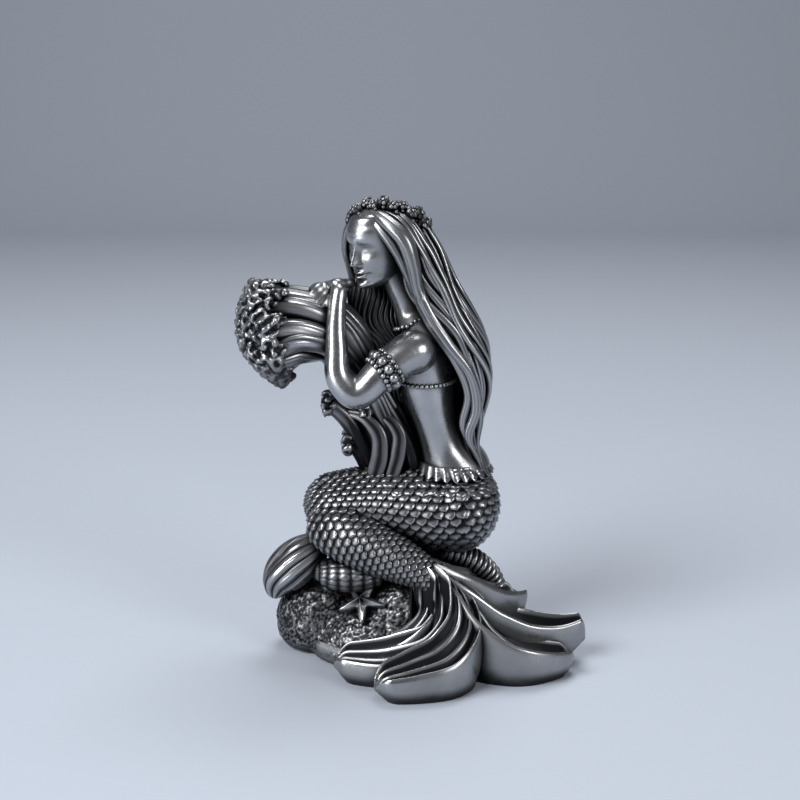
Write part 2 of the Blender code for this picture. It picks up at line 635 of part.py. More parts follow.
def model_base(clay):
    """The rocks, and the shells and starfish on them."""
    for centre, radii in ROCKS:
        add_ball(clay, centre, radii)
    up = unit((-0.25, -0.7, 0.66))
    arm_0 = unit(np.cross(up, (1.0, 0.0, 0.0)))
    arm_90 = np.cross(up, arm_0)
    arms = []
    for i in range(STARFISH_ARMS):
        angle = 2 * pi * i / STARFISH_ARMS
        tip = np.array(STARFISH_CENTRE) + STARFISH_REACH * (cos(angle) * -arm_0 + sin(angle) * arm_90)
        arms.append([(*STARFISH_CENTRE, STARFISH_ARM_RADIUS), (*tip, 0.4)])
    add_tubes(clay, arms, steps=6)
    for i in range(SCALLOP_RIBS):
        lift = (i - (SCALLOP_RIBS - 1) / 2) / SCALLOP_RIBS
        angles = np.linspace(-1.1, 1.1, 7)
        rib = [
            (
                SCALLOP_CENTRE[0] + SCALLOP_RADII[0] * sin(a),
                SCALLOP_CENTRE[1] - SCALLOP_RADII[1] * cos(a) * cos(1.8 * lift),
                SCALLOP_CENTRE[2] + 2 * SCALLOP_RADII[2] * lift,
                0.75,
            )
            for a in angles
        ]
        add_tubes(clay, [rib], steps=12)
    add_ball(clay, SCALLOP_CENTRE, np.array(SCALLOP_RADII) * 0.93)
    conch = smooth_curve(CONCH, 40)
    side, normal = frames_along(conch[:, :3], (0.2, 1.0, 0.0))
    lines = []
    for i in range(CONCH_LINES):
        angle = 2 * pi * i / CONCH_LINES
        offset = conch[:, 3:] * (cos(angle) * side + sin(angle) * normal)
        lines.append([(*p, CONCH_LINE_RADIUS) for p in conch[:, :3] + offset])
    add_tubes(clay, [conch], steps=40, bevel=5)
    add_tubes(clay, lines, steps=40)


def bundle_frames(steps):
    """The coral bundle's samples with two directions square to its path."""
    path = smooth_curve(BOUQUET, steps)
    side, normal = frames_along(path[:, :3], BUNDLE_ACROSS)
    return path, side, normal


def model_coral(clay):
    """Tubes side by side along the bundle, its frilled mouth at the far end, and the short stubs below."""
    steps = 30
    path, side, normal = bundle_frames(steps)
    tubes = []
    for count, share in ((OUTER_TUBES, 0.78), (INNER_TUBES, 0.38)):
        for i in range(count):
            q = np.linspace(0, 1, steps)
            angle = 2 * pi * i / count + 0.16 * np.sin(2 * pi * (1.7 * q + 0.37 * i))
            offset = np.cos(angle)[:, None] * side + np.sin(angle)[:, None] * normal
            reach = path[:, 3:4] * share + TUBE_WANDER * np.sin(2 * pi * (1.3 * q + 0.23 * i))[:, None]
            tube = path[:, :3] + offset * reach
            radius = TUBE_RADIUS * np.interp(np.linspace(0, 1, steps), (0, 0.7, 1), (1.0, 1.1, 1.5))
            tubes.append(np.column_stack([tube, radius]))
    tubes += STUBS
    add_tubes(clay, tubes, steps=40)
    add_limb(clay, [(*p[:3], p[3] * 0.6, p[3] * 0.6) for p in BOUQUET], BUNDLE_ACROSS)
    mouth, reach = path[-1, :3], path[-1, 3]
    along = unit(path[-1, :3] - path[-2, :3])
    for i in range(POLYP_COUNT):
        share = np.sqrt((i + 0.5) / POLYP_COUNT)
        angle = i * pi * (3 - 5**0.5)
        dome = along * reach * (0.55 * (1 - share**2) - 0.05)
        place = mouth + reach * 1.12 * share * (cos(angle) * side[-1] + sin(angle) * normal[-1]) + dome
        add_ball(clay, place, POLYP_RADIUS)
    for i in range(RIM_COUNT):
        angle = 2 * pi * i / RIM_COUNT
        radial = cos(angle) * side[-1] + sin(angle) * normal[-1]
        back = RIM_REACH * (0.35 + 0.65 * max(radial[2], 0.0)) * (i % 3) / 2
        place = mouth + radial * (reach * RIM_SPREAD - 0.22 * back) - along * (back + 1.0)
        add_ball(clay, place, POLYP_RADIUS)
    for stub in STUBS:
        end = np.array(stub[-1][:3])
        for i in range(STUB_POLYPS):
            angle = 2 * pi * i / STUB_POLYPS
            add_ball(clay, end + (-0.6, 2.2 * cos(angle), 2.2 * sin(angle)), 1.4)


def beads_along(clay, points):
    """Beads at the pitch along a smooth curve."""
    fine = smooth_curve(points, 300)
    length = np.r_[0, np.cumsum(np.linalg.norm(np.diff(fine, axis=0), axis=1))]
    count = max(2, round(length[-1] / BEAD_PITCH))
    for at in np.linspace(0, length[-1], count):
        place = [np.interp(at, length, fine[:, k]) for k in range(3)]
        add_ball(clay, place, BEAD_RADIUS)


def model_jewellery(clay):
    """Necklace, chest strap and armband of beads."""
    chest, left = torso_axes()
    for height, drop in ((STRAP_HEIGHT, 0.0), (NECKLACE_HEIGHT, 3.0)):
        loop = []
        for angle in np.linspace(0, 2 * pi, 25):
            lowered = height - drop * (1 + cos(angle)) / 2
            centre, depth, width = torso_at(lowered)
            loop.append(centre + chest * depth * cos(angle) + left * width * sin(angle))
        beads_along(clay, loop)
    for turn, length in DROPS:
        angle = -radians(turn)
        string = []
        for height in np.linspace(STRAP_HEIGHT, STRAP_HEIGHT - length, 6):
            centre, depth, width = torso_at(height)
            string.append(centre + chest * depth * cos(angle) + left * width * sin(angle))
        beads_along(clay, string)
    arm = smooth_curve(NEAR_ARM, 200)
    at = int(200 * ARMBAND_PLACE)
    along = unit(arm[at + 1, :3] - arm[at, :3])
    side = unit(np.cross(along, (0, 0, 1)))
    normal = np.cross(along, side)
    for shift in (-1.6, 0.0, 1.6):
        for angle in np.linspace(0, 2 * pi, 16, endpoint=False):
            ring = arm[at, 3] + 0.3
            place = arm[at, :3] + along * shift + ring * (cos(angle) * side + sin(angle) * normal)
            add_ball(clay, place, BEAD_RADIUS * (1.4 if shift == 0 else 1.0))


def evaluated_mesh(obj):
    """A new mesh of the object with its modifiers applied."""
    graph = bpy.context.evaluated_depsgraph_get()
    return bpy.data.meshes.new_from_object(obj.evaluated_get(graph))


def shell_volume(shell):
    """Signed volume of a set of faces, negative where they enclose a hollow inside the clay."""
    total = 0.0
    for face in shell:
        corners = [v.co for v in face.verts]
        for i in range(1, len(corners) - 1):
            total += corners[0].dot(corners[i].cross(corners[i + 1])) / 6
    return total


def fill_sealed_pockets(mesh):
    """Removes the walls of pockets that the fused clay encloses, so that the casting is solid."""
    body = bmesh.new()
    body.from_mesh(mesh)
    left = set(body.faces)
    pockets = []
    while left:
        shell = [left.pop()]
        for face in shell:
            for edge in face.edges:
                for other in edge.link_faces:
                    if other in left:
                        left.remove(other)
                        shell.append(other)
        if shell_volume(shell) < 0:
            pockets += shell
    bmesh.ops.delete(body, geom=pockets, context="FACES")
    body.to_mesh(mesh)
    body.free()


def silver():
    """Antiqued silver finish."""
    material = bpy.data.materials.new("antique_silver")
    material.use_nodes = True
    shader = material.node_tree.nodes["Principled BSDF"]
    shader.inputs["Base Color"].default_value = (0.36, 0.37, 0.39, 1.0)
    shader.inputs["Metallic"].default_value = 1.0
    shader.inputs["Roughness"].default_value = 0.32
    return material


def cast(clay):
    """Fuses the clay, softens and thins it, trims its foot flat and sets it on the origin."""
    figure_parts = bpy.data.collections.new("mermaid_figurine")
    cutters = bpy.data.collections.new("cutters")
    for group in (figure_parts, cutters):
        bpy.context.scene.collection.children.link(group)
    mesh = bpy.data.meshes.new("clay")
    clay.to_mesh(mesh)
    figure = bpy.data.objects.new("mermaid_figurine", mesh)
    figure_parts.objects.link(figure)
    remesh = figure.modifiers.new("fuse", "REMESH")
    remesh.mode = "VOXEL"
    remesh.voxel_size = CLAY_VOXEL * MM
    fused = evaluated_mesh(figure)
    figure.modifiers.clear()
    fill_sealed_pockets(fused)
    figure.data = fused
    points = np.array([v.co for v in fused.vertices])
    kept = points[points[:, 2] >= 0]
    centre = (kept.min(axis=0) + kept.max(axis=0)) / 2
    fused.transform(Matrix.Translation((-centre[0], -centre[1], 0.0)))
    soften = figure.modifiers.new("soften", "SMOOTH")
    soften.factor = 0.5
    soften.iterations = SOFTEN_STEPS
    thin = figure.modifiers.new("thin", "DECIMATE")
    thin.ratio = TRIANGLE_SHARE
    bpy.ops.mesh.primitive_cube_add(size=1.0, location=(0, 0, -TRIM_DEPTH / 2 * MM))
    block = bpy.context.object
    block.name = "trim_block"
    block.scale = (0.2, 0.2, TRIM_DEPTH * MM)
    block.hide_render = True
    block.display_type = "WIRE"
    for group in list(block.users_collection):
        group.objects.unlink(block)
    cutters.objects.link(block)
    trim = figure.modifiers.new("trim", "BOOLEAN")
    trim.operation = "DIFFERENCE"
    trim.object = block
    figure.data.materials.append(silver())
    return figure


def main():
    for obj in list(bpy.data.objects):
        bpy.data.objects.remove(obj)
    clay = bmesh.new()
    model_torso(clay)
    model_arm(clay, NEAR_ARM, NEAR_HAND)
    model_arm(clay, FAR_ARM, FAR_HAND)
    model_head(clay)
    model_hair(clay)
    model_wreath(clay)
    model_tail(clay)
    model_frill(clay)
    model_fluke(clay)
    model_base(clay)
    model_coral(clay)
    model_jewellery(clay)
    cast(clay)
    clay.free()


main()
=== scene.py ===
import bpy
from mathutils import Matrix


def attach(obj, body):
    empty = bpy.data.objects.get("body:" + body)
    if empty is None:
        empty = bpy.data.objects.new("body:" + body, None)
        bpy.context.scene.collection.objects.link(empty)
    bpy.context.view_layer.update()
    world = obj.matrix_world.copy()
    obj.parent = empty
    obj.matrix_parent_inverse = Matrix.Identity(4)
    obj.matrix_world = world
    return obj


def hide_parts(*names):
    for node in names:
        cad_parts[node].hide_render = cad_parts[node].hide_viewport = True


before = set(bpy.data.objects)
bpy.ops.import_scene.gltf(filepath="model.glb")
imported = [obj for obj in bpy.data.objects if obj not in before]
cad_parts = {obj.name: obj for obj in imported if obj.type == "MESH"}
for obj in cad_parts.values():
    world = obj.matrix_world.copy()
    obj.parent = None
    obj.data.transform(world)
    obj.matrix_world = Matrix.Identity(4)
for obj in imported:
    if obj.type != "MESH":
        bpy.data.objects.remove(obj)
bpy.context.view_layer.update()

from math import cos, pi, radians, sin

import bmesh
import bpy
import numpy as np
from mathutils import Vector
from mathutils.bvhtree import BVHTree

# Everything below is in millimetres in the sculptor's frame: +X to her back, +Y to her right-hand side,
# +Z up. SHIFT moves it to the row frame, whose origin is the centre of the underside of the box.
MM = 0.001
SHIFT = np.array([-3.8, 2.3, 0.0])
DICE = np.random.default_rng(7)

# Torso: centre line from hips to neck, each point with its half depth and half width
TORSO = [
    (15.0, 3.0, 40.0, 10.5, 12.0),
    (14.8, 3.0, 51.0, 9.6, 11.0),
    (12.2, 2.4, 58.0, 6.6, 8.2),
    (9.6, 2.0, 66.0, 6.3, 8.0),
    (7.4, 1.6, 76.0, 7.2, 9.4),
    (6.4, 1.2, 84.0, 6.6, 10.0),
    (4.8, 0.8, 90.0, 4.6, 7.4),
    (2.4, 0.4, 94.5, 3.6, 3.8),
    (-0.4, 0.2, 101.0, 3.3, 3.3),
    (-3.0, 0.5, 107.0, 3.2, 3.3),
]
TORSO_TURN = 14.0
BREAST_RADIUS = 4.0
# Yoke: from the near shoulder over the collar bones to the far one
YOKE = [
    (5.4, -6.4, 84.0, 6.4, 6.0),
    (5.8, -5.4, 86.4, 5.8, 5.6),
    (5.0, -3.2, 89.6, 4.4, 4.6),
    (3.4, 0.4, 92.2, 3.6, 3.8),
    (5.2, 5.4, 90.8, 3.8, 4.0),
    (7.4, 9.4, 88.0, 4.5, 4.5),
    (5.6, 11.0, 85.6, 4.4, 4.4),
]

# Arms: shoulder, elbow, wrist and the palm, with the arm's radius at each
NEAR_ARM = [
    (8.6, -4.8, 85.8, 6.6),
    (3.2, -7.6, 85.4, 5.7),
    (-4.2, -11.1, 81.2, 4.5),
    (-12.0, -13.1, 75.6, 3.9),
    (-15.0, -12.6, 78.5, 3.6),
    (-16.2, -10.8, 88.0, 2.9),
    (-16.0, -8.6, 98.0, 2.3),
    (-15.2, -6.4, 103.0, 2.2),
]
FAR_ARM = [
    (7.5, 9.5, 87.0, 4.2),
    (-1.0, 14.0, 81.0, 3.7),
    (-8.5, 15.5, 77.5, 3.4),
    (-12.0, 14.0, 81.0, 3.2),
    (-15.5, 9.5, 90.5, 2.8),
    (-17.5, 4.5, 98.5, 2.3),
    (-18.5, 0.5, 101.5, 2.1),
]
# Hands: the palm's centre, the run of the middle finger and the direction from first to last finger
NEAR_HAND = ((-15.6, -4.8, 102.6), (2.2, 4.6, -1.8), (0.9, -0.4, 0.1))
FAR_HAND = ((-18.4, -2.6, 100.8), (-4.2, -4.8, -3.6), (0.75, -0.35, -0.55))
PALM_RADIUS = 2.6
FINGER_RADIUS = 1.0
FINGER_LENGTHS = (0.88, 1.05, 1.0, 0.82)
FINGER_PITCH = 1.55
FINGER_ARCH = 1.1

# Head: its sections from chin to crown in the face's own frame, with the eyes halfway up.
# Each row is a height and the half width, the front depth and the back depth there.
HEAD_CENTRE = (-5.4, 0.3, 112.8)
HEAD_TURN = 45.0
HEAD_BOW = 10.0
HEAD_SECTIONS = [
    (-10.8, 1.6, 6.2, -2.0),
    (-10.0, 3.2, 7.9, -0.5),
    (-9.0, 4.3, 8.5, 1.5),
    (-7.6, 5.2, 8.2, 4.0),
    (-5.4, 6.1, 8.5, 6.0),
    (-2.6, 6.9, 8.3, 7.6),
    (0.4, 7.2, 8.3, 8.4),
    (3.4, 7.2, 8.7, 8.8),
    (6.4, 6.4, 7.8, 8.2),
    (8.8, 4.6, 5.6, 6.0),
    (10.6, 1.2, 1.6, 1.6),
]
# Features of the face: side offset, height, half width, half height and how far it stands out
PAIRED_MOUNDS = [
    (2.85, 0.2, 1.75, 1.35, -1.25),
    (2.85, 0.05, 1.35, 0.95, 0.95),
    (2.9, 2.15, 2.1, 0.55, 0.38),
    (4.6, -2.7, 2.2, 1.9, 0.4),
    (1.2, -3.75, 0.55, 0.5, 0.75),
    (2.6, -6.2, 0.8, 0.9, -0.28),
]
MIDDLE_MOUNDS = [
    (0.0, 2.6, 4.6, 0.9, 0.25),
    (0.0, -0.2, 0.8, 1.9, 0.85),
    (0.0, -2.6, 0.85, 1.5, 1.45),
    (0.0, -3.5, 0.95, 0.65, 0.95),
    (0.0, -4.9, 0.3, 0.5, -0.18),
    (0.0, -6.95, 1.55, 0.48, 0.85),
    (0.0, -8.1, 1.6, 0.5, -0.3),
    (0.0, -9.6, 1.7, 1.1, 0.5),
]
UPPER_LIP = (0.0, -5.75, 2.0, 0.42, 0.7)
LIP_BOW = 0.048
# Creases: side offset, height, bend, thickness, depth and half width
EYE_CREASES = [(2.85, -0.42, -0.11, 0.15, 0.30, 1.5), (2.85, 0.95, 0.12, 0.16, 0.14, 1.6)]
MOUTH_CREASE = (0.0, -6.33, -0.045, 0.17, 0.42, 2.2)
FACE_RELIEF = 1.25

# Hair: guide curves from the parting to the tips, from the near edge round the back to the far edge
HAIR_GUIDES = [
    [
        (-8.6, -4.0, 120.4), (-3.4, -7.4, 117.6), (0.8, -8.0, 110.5), (2.4, -6.5, 103.0), (5.6, -6.5, 95.5),
        (10.4, -7.5, 88.0), (15.4, -7.0, 79.5), (17.0, -6.0, 70.0), (15.8, -5.0, 62.5), (19.6, -4.5, 55.0),
    ],
    [
        (-6.0, -2.0, 122.4), (1.0, -6.0, 119.0), (5.4, -7.2, 111.0), (8.2, -7.4, 103.0), (12.2, -7.8, 95.5),
        (17.0, -8.2, 87.0), (20.2, -7.6, 78.0), (20.0, -6.3, 69.0), (18.0, -5.0, 61.0), (20.8, -4.0, 53.5),
    ],
    [
        (-4.5, 0.3, 123.2), (3.0, 0.3, 120.4), (8.2, 0.5, 113.0), (13.0, 1.0, 104.0), (18.2, 1.5, 95.5),
        (22.4, 2.0, 86.5), (22.9, 2.0, 76.5), (20.8, 2.0, 67.5), (18.6, 2.0, 59.0), (21.2, 2.0, 52.5),
    ],
    [
        (-6.0, 3.1, 121.8), (0.6, 7.0, 118.5), (5.4, 8.5, 111.0), (8.4, 9.6, 103.0), (12.0, 11.0, 95.5),
        (16.4, 11.6, 86.5), (18.8, 11.2, 77.0), (18.0, 10.0, 68.0), (16.2, 9.0, 60.0), (18.4, 8.0, 53.0),
    ],
    [
        (-8.6, 5.0, 119.0), (-4.6, 8.2, 115.0), (-1.4, 9.0, 109.0), (1.4, 9.6, 102.0), (5.2, 12.4, 95.5),
        (10.5, 13.4, 87.0), (14.2, 12.6, 78.0), (14.8, 11.0, 69.0), (14.2, 9.5, 61.0), (17.0, 8.4, 54.0),
    ],
]
HAIR_COLUMNS = 60
HAIR_DEPTH = 4.5
# How far the hair's dark body lies under its locks, and the share of its width cut off the near edge
HAIR_SINK = 0.7
HAIR_TRIM = 0.12
LOCKS = 25
LOOSE_LOCKS = 10
LOCK_WAVE = 2.3
LOCK_WAVES = 2.3
# How far the waves shift, in wave lengths, from the near edge of the hair to the far one
PHASE_ACROSS = 1.82
FRONT_HAIR = [
    (-8.6, 5.6, 118.0, 1.2, 2.0), (-8.0, 7.4, 110.0, 2.0, 2.4), (-8.2, 6.2, 102.0, 5.2, 3.0),
    (-7.0, 4.6, 94.0, 6.2, 3.4), (-4.6, 3.2, 86.0, 6.4, 3.6), (-3.6, 2.6, 78.0, 6.0, 3.4),
    (-2.6, 3.0, 70.0, 5.0, 3.2),
]
FRONT_LOCKS = 13
FRONT_LOCK_RADIUS = 1.2
FRONT_CORE = 0.94
# Locks that frame the face, each point with the lock's radius
FACE_LOCKS = [
    [
        (-7.6, -3.2, 121.6, 1.3), (-3.2, -7.4, 118.8, 2.0), (1.2, -9.4, 114.4, 2.3), (3.2, -9.4, 108.4, 2.1),
        (4.4, -8.2, 102.4, 1.8), (7.4, -8.6, 95.6, 1.7), (12.2, -9.4, 88.2, 1.6), (18.2, -8.8, 79.6, 1.5),
        (19.8, -7.6, 70.0, 1.5), (18.0, -6.8, 62.4, 1.4), (21.4, -6.2, 55.4, 0.9),
    ],
    [
        (-8.8, -3.4, 120.6, 1.0), (-5.4, -7.0, 117.6, 1.3), (-1.2, -8.8, 112.2, 1.4),
        (2.0, -8.2, 105.6, 1.3), (4.6, -7.0, 99.0, 1.2), (8.4, -8.0, 91.6, 1.2), (14.2, -8.8, 83.6, 1.3),
        (17.8, -7.8, 74.0, 1.3), (16.6, -6.6, 65.4, 1.2), (19.4, -6.0, 57.4, 0.8),
    ],
    [
        (-9.8, -0.6, 121.2, 1.0), (-12.8, 0.6, 117.4, 1.3), (-14.2, 2.4, 111.4, 1.3),
        (-12.9, 4.6, 104.8, 1.3), (-11.2, 4.4, 98.4, 1.2), (-9.2, 2.2, 91.6, 0.8),
    ],
]
WREATH_CENTRE = (-3.0, 0.6, 116.8)
WREATH_RADII = (9.9, 7.9)
WREATH_RISE = 52.0
WREATH_TILT = 8.0
WREATH_RADIUS = 1.6
WREATH_BULK = 0.4
WREATH_BULK_ANGLE = 0.4
WREATH_BEADS = 26
FLOWER_PETALS = 6

# Tail: hips and thigh to the knee, then folded back to the root of the fluke
HIPS_CENTRE = (14.6, 3.0, 40.8)
HIPS_RADII = (11.9, 12.4, 12.6)
SCALE_WIDTH = 3.1
SCALE_PITCH = 2.1
# Width of a scale over the room it has in its row
SCALE_OVERLAP = 1.04
WAIST_SCALES = 22
WAIST_ROWS = 3
# Roundness of the scale rows' ends at the hips and the knee, and the size of the scales at the knee
HIPS_ROUND = 12.0
KNEE_ROUND = 7.0
KNEE_SIZE = 0.72
THIGH = [
    (16.0, 3.0, 40.2, 9.0, 10.0),
    (11.0, 2.6, 40.4, 11.8, 12.0),
    (3.0, 1.6, 41.2, 10.6, 11.0),
    (-7.0, 0.4, 42.4, 9.2, 9.6),
    (-16.0, -0.8, 42.4, 8.2, 8.6),
    (-25.4, -1.6, 42.0, 6.6, 7.4),
]
SHIN = [
    (-22.6, -2.6, 41.0, 5.4, 6.6),
    (-16.4, -6.2, 37.4, 7.2, 7.4),
    (-8.4, -9.2, 33.2, 6.6, 6.6),
    (1.0, -11.4, 29.2, 5.2, 5.2),
    (7.4, -12.6, 25.8, 3.9, 3.9),
    (11.0, -13.4, 23.0, 3.2, 3.2),
]
WAIST = [
    (13.6, 3.0, 42.0, 11.0, 11.8),
    (14.6, 3.0, 47.0, 10.8, 11.8),
    (14.8, 3.0, 51.6, 10.0, 11.0),
]
FRILL_MIDDLE = 53.0
FRILL_HEIGHT = 2.4
FRILL_WAVES = 24
FRILL_DEPTH = 0.6
SKIN_TUCK = 1.8
SPINE_CENTRE = (9.0, 2.0, 66.0)
SPINE_DEPTH = 0.5

# Fluke: petals from the root to their blunt tips, each point with its half width and the lift of its edges.
# FAN holds the three that sweep round the starfish, tilted so that each lies over the next.
FAN = [
    [
        (4.6, -11.4, 28.8, 2.0, 0.2), (6.4, -14.6, 23.0, 3.0, 0.3), (5.8, -16.6, 17.6, 3.6, 0.4),
        (0.8, -16.4, 11.8, 4.2, 0.5), (-8.0, -12.4, 7.8, 5.0, 0.5), (-22.6, -3.0, 5.6, 4.4, 0.3),
    ],
    [
        (7.4, -12.8, 29.4, 2.2, 0.2), (12.1, -16.6, 23.5, 3.4, 0.3), (12.0, -20.4, 17.5, 3.8, 0.4),
        (7.3, -22.8, 11.8, 4.4, 0.6), (-2.1, -22.6, 8.6, 5.0, 0.7), (-17.4, -19.6, 7.0, 4.0, 0.5),
    ],
    [
        (10.0, -13.2, 29.4, 2.2, 0.2), (16.2, -18.4, 23.0, 3.6, 0.5), (16.5, -24.4, 16.8, 4.2, 0.6),
        (11.8, -29.2, 12.0, 5.0, 0.6), (3.1, -31.6, 9.0, 5.0, 0.6), (-6.6, -33.2, 6.6, 4.0, 0.5),
    ],
]
RIBS_PER_FAN_PETAL = 3
FAN_TILT = 2.6
PETALS = [
    [
        (8.0, -13.0, 29.0, 2.4, 0.2), (16.8, -16.2, 22.0, 3.8, 1.4), (24.4, -19.6, 12.6, 5.4, 2.8),
        (32.0, -20.4, 7.4, 5.8, 3.4), (39.0, -18.4, 5.4, 4.8, 3.0), (46.0, -15.6, 5.2, 2.8, 1.6),
    ],
    [
        (8.4, -12.4, 29.2, 2.4, 0.2), (17.2, -12.4, 22.6, 3.8, 1.2), (25.6, -10.6, 14.4, 5.2, 2.6),
        (34.0, -8.8, 9.4, 5.6, 3.4), (42.4, -8.0, 8.4, 4.2, 3.0), (50.2, -7.4, 11.6, 1.9, 0.9),
    ],
    [
        (8.4, -11.6, 29.4, 2.4, 0.2), (16.4, -8.2, 24.2, 3.6, 1.4), (22.8, -4.2, 18.6, 4.4, 2.4),
        (27.6, -1.0, 15.0, 4.4, 3.2), (31.2, 1.8, 14.4, 4.2, 2.8), (34.2, 4.2, 16.4, 3.6, 0.8),
    ],
    [
        (8.0, -10.8, 29.0, 2.4, 0.2), (13.8, -2.0, 24.0, 3.8, 0.8), (18.6, 8.0, 18.8, 5.0, 1.2),
        (23.4, 16.0, 13.4, 5.4, 1.6), (28.4, 21.6, 8.8, 4.6, 1.6), (33.4, 26.0, 6.0, 3.4, 0.8),
    ],
]
RIBS_PER_PETAL = 3
RIB_DEPTH = 2.1
PETAL_BULGE = 0.7
PETAL_UNDERCUT = 1.2
TIP_OVERHANG = 0.45
LIP_HEIGHT = 0.4
FINE_RIB_DEPTH = 0.22
PETAL_COLUMNS = 73
WALL_ROWS = 14
# Ridge behind the fluke, with a row of teeth across it
COMB = [
    (11.0, -2.0, 29.0, 2.6), (16.0, 0.6, 27.0, 3.2), (21.0, 3.2, 23.6, 3.2), (25.0, 5.4, 19.4, 2.8),
    (27.6, 7.0, 14.6, 2.2),
]
COMB_TEETH = 13
COMB_DEPTH = 0.16

# Base: the rock's lumps with their centres and radii, and what lies on it
ROCKS = [
    ((-5.0, 13.0, 2.0), (26.5, 20.0, 17.0)),
    ((-3.0, 0.0, 1.0), (22.0, 17.5, 16.0)),
    ((6.0, 4.0, 14.0), (17.0, 14.0, 15.0)),
    ((-22.0, 3.0, 8.0), (12.0, 10.0, 13.0)),
    ((2.0, -4.0, 12.0), (12.0, 9.5, 11.0)),
]
STARFISH_CENTRE = (-10.2, -9.8, 17.8)
STARFISH_REACH = 6.8
STARFISH_ARMS = 5
STARFISH_HEIGHT = 1.5
STARFISH_UP = (-0.25, -0.7, 0.66)
SCALLOP_CENTRE = (-13.0, -6.4, 24.6)
SCALLOP_RADII = (9.6, 6.6, 4.8)
SCALLOP_BANDS = 9
SCALLOP_LINES = 8
CONCH = [
    (-18.6, -0.6, 32.0, 2.2), (-24.0, -1.4, 29.0, 4.6), (-29.4, -2.0, 25.0, 5.6), (-33.2, -2.0, 20.6, 4.8),
    (-34.6, -2.0, 15.4, 2.6),
]
CONCH_LINES = 11
CONCH_LINE_RADIUS = 0.7
GRAIN_CELL = 0.7
GRAIN_HEIGHT = 0.42
LUMP_CELL = 4.0

# Coral: a bundle of tubes along one path, each point with the bundle's radius
BOUQUET = [
    (0.0, 9.0, 8.0, 7.4),
    (-0.6, 8.8, 26.0, 7.2),
    (-0.8, 7.0, 42.0, 7.6),
    (-1.4, 5.6, 55.0, 8.0),
    (-6.0, 4.4, 68.0, 7.2),
    (-11.6, 2.4, 80.0, 6.8),
    (-17.8, -0.6, 89.0, 7.0),
    (-25.8, -3.8, 91.4, 9.0),
    (-34.6, -5.0, 89.6, 12.0),
]
BUNDLE_ACROSS = (0.3, 1.0, 0.1)
OUTER_TUBES = 11
INNER_TUBES = 5
TUBE_RADIUS = 2.1
TUBE_WANDER = 0.7
SIDE_TUBE_SHARE = 0.42
POLYP_RADIUS = 1.75
CURL_PITCH = 2.3
CURL_COUNT = 40
POLYP_COUNT = 84
RIM_COUNT = 30
RIM_REACH = 7.0
RIM_SPREAD = 1.06
STUB_POLYPS = 7
STUB_REACH = 2.2
STUB_CAP_RADIUS = 2.4
STUB_POLYP_RADIUS = 1.5
STUBS = [
    [(-6.5, 3.0, 50.0, 2.4), (-10.4, 1.0, 59.0, 2.5), (-14.4, 0.0, 66.0, 2.5), (-18.6, -0.6, 70.0, 2.2)],
    [(-2.0, 2.4, 51.0, 2.4), (-2.6, 0.6, 60.0, 2.4), (-5.4, -0.4, 66.6, 2.2), (-8.6, -0.8, 68.4, 1.8)],
    [(-8.0, 4.4, 49.0, 2.2), (-10.6, 3.0, 55.0, 2.1), (-13.4, 1.4, 58.8, 1.7)],
]

# Leaves of coral below the near elbow, each point with the leaf's half width
BLADES = [
    [
        (-7.6, -1.6, 67.6, 0.8), (-3.4, -3.2, 66.4, 1.5), (-0.4, -4.2, 62.4, 2.0), (-0.6, -4.2, 57.6, 2.2),
        (-2.6, -3.0, 50.0, 2.2),
    ],
    [
        (-14.0, -1.0, 67.6, 0.8), (-9.4, -2.8, 66.4, 1.6), (-5.8, -4.0, 62.4, 2.2), (-5.4, -4.0, 57.0, 2.4),
        (-7.0, -2.6, 50.0, 2.4),
    ],
]

# Jewellery
BEAD_RADIUS = 0.62
BEAD_PITCH = 1.25
ARMBAND_CENTRE = (-3.8, -11.0, 81.4)
STRAP_HEIGHT = 76.4
NECKLACE_HEIGHT = 94.0
# Bead strings that hang from the strap: angle from the chest's middle and length
DROPS = [(62.0, 11.0), (74.0, 14.0), (86.0, 12.0)]
# Rows of beads on the armband: place along the arm, bead radius and count
ARMBAND_ROWS = [(-2.1, 0.7, 19), (-1.2, 0.4, 26), (0.0, 1.4, 11), (1.2, 0.4, 26), (2.1, 0.7, 19)]

# Lamps, each with its place and size in metres and its power
LAMPS = [
    ("key", (-0.65, -0.55, 0.75), (0.55, 0.55), 12.0),
    ("fill", (0.75, -0.65, 0.45), (0.4, 0.5), 4.5),
    ("side", (-0.8, -0.62, 0.16), (0.4, 0.3), 3.0),
    ("top", (0.1, 0.25, 0.95), (0.5, 0.5), 5.5),
]
FLOOR_COLOUR = (0.42, 0.46, 0.53, 1.0)
CAMERA_PLACE = (0.0, -370.0, 163.0)
CAMERA_PITCH = 14.0
CAMERA_LENS = 64.62
UP = np.array([0.0, 0.0, 1.0])


# Geometry helpers

def unit(vector):
    return np.asarray(vector, float) / np.linalg.norm(vector)


def unit_rows(vectors):
    return vectors / np.maximum(np.linalg.norm(vectors, axis=-1, keepdims=True), 1e-9)


def smoothstep(low, high, value):
    t = np.clip((value - low) / (high - low), 0, 1)
    return t * t * (3 - 2 * t)


def run_along(path):
    """Distance from the start of a path at each of its points."""
    return np.r_[0.0, np.cumsum(np.linalg.norm(np.diff(path[:, :3], axis=0), axis=1))]


def point_at(run, path, distance):
    return np.array([np.interp(distance, run, path[:, k]) for k in range(3)])


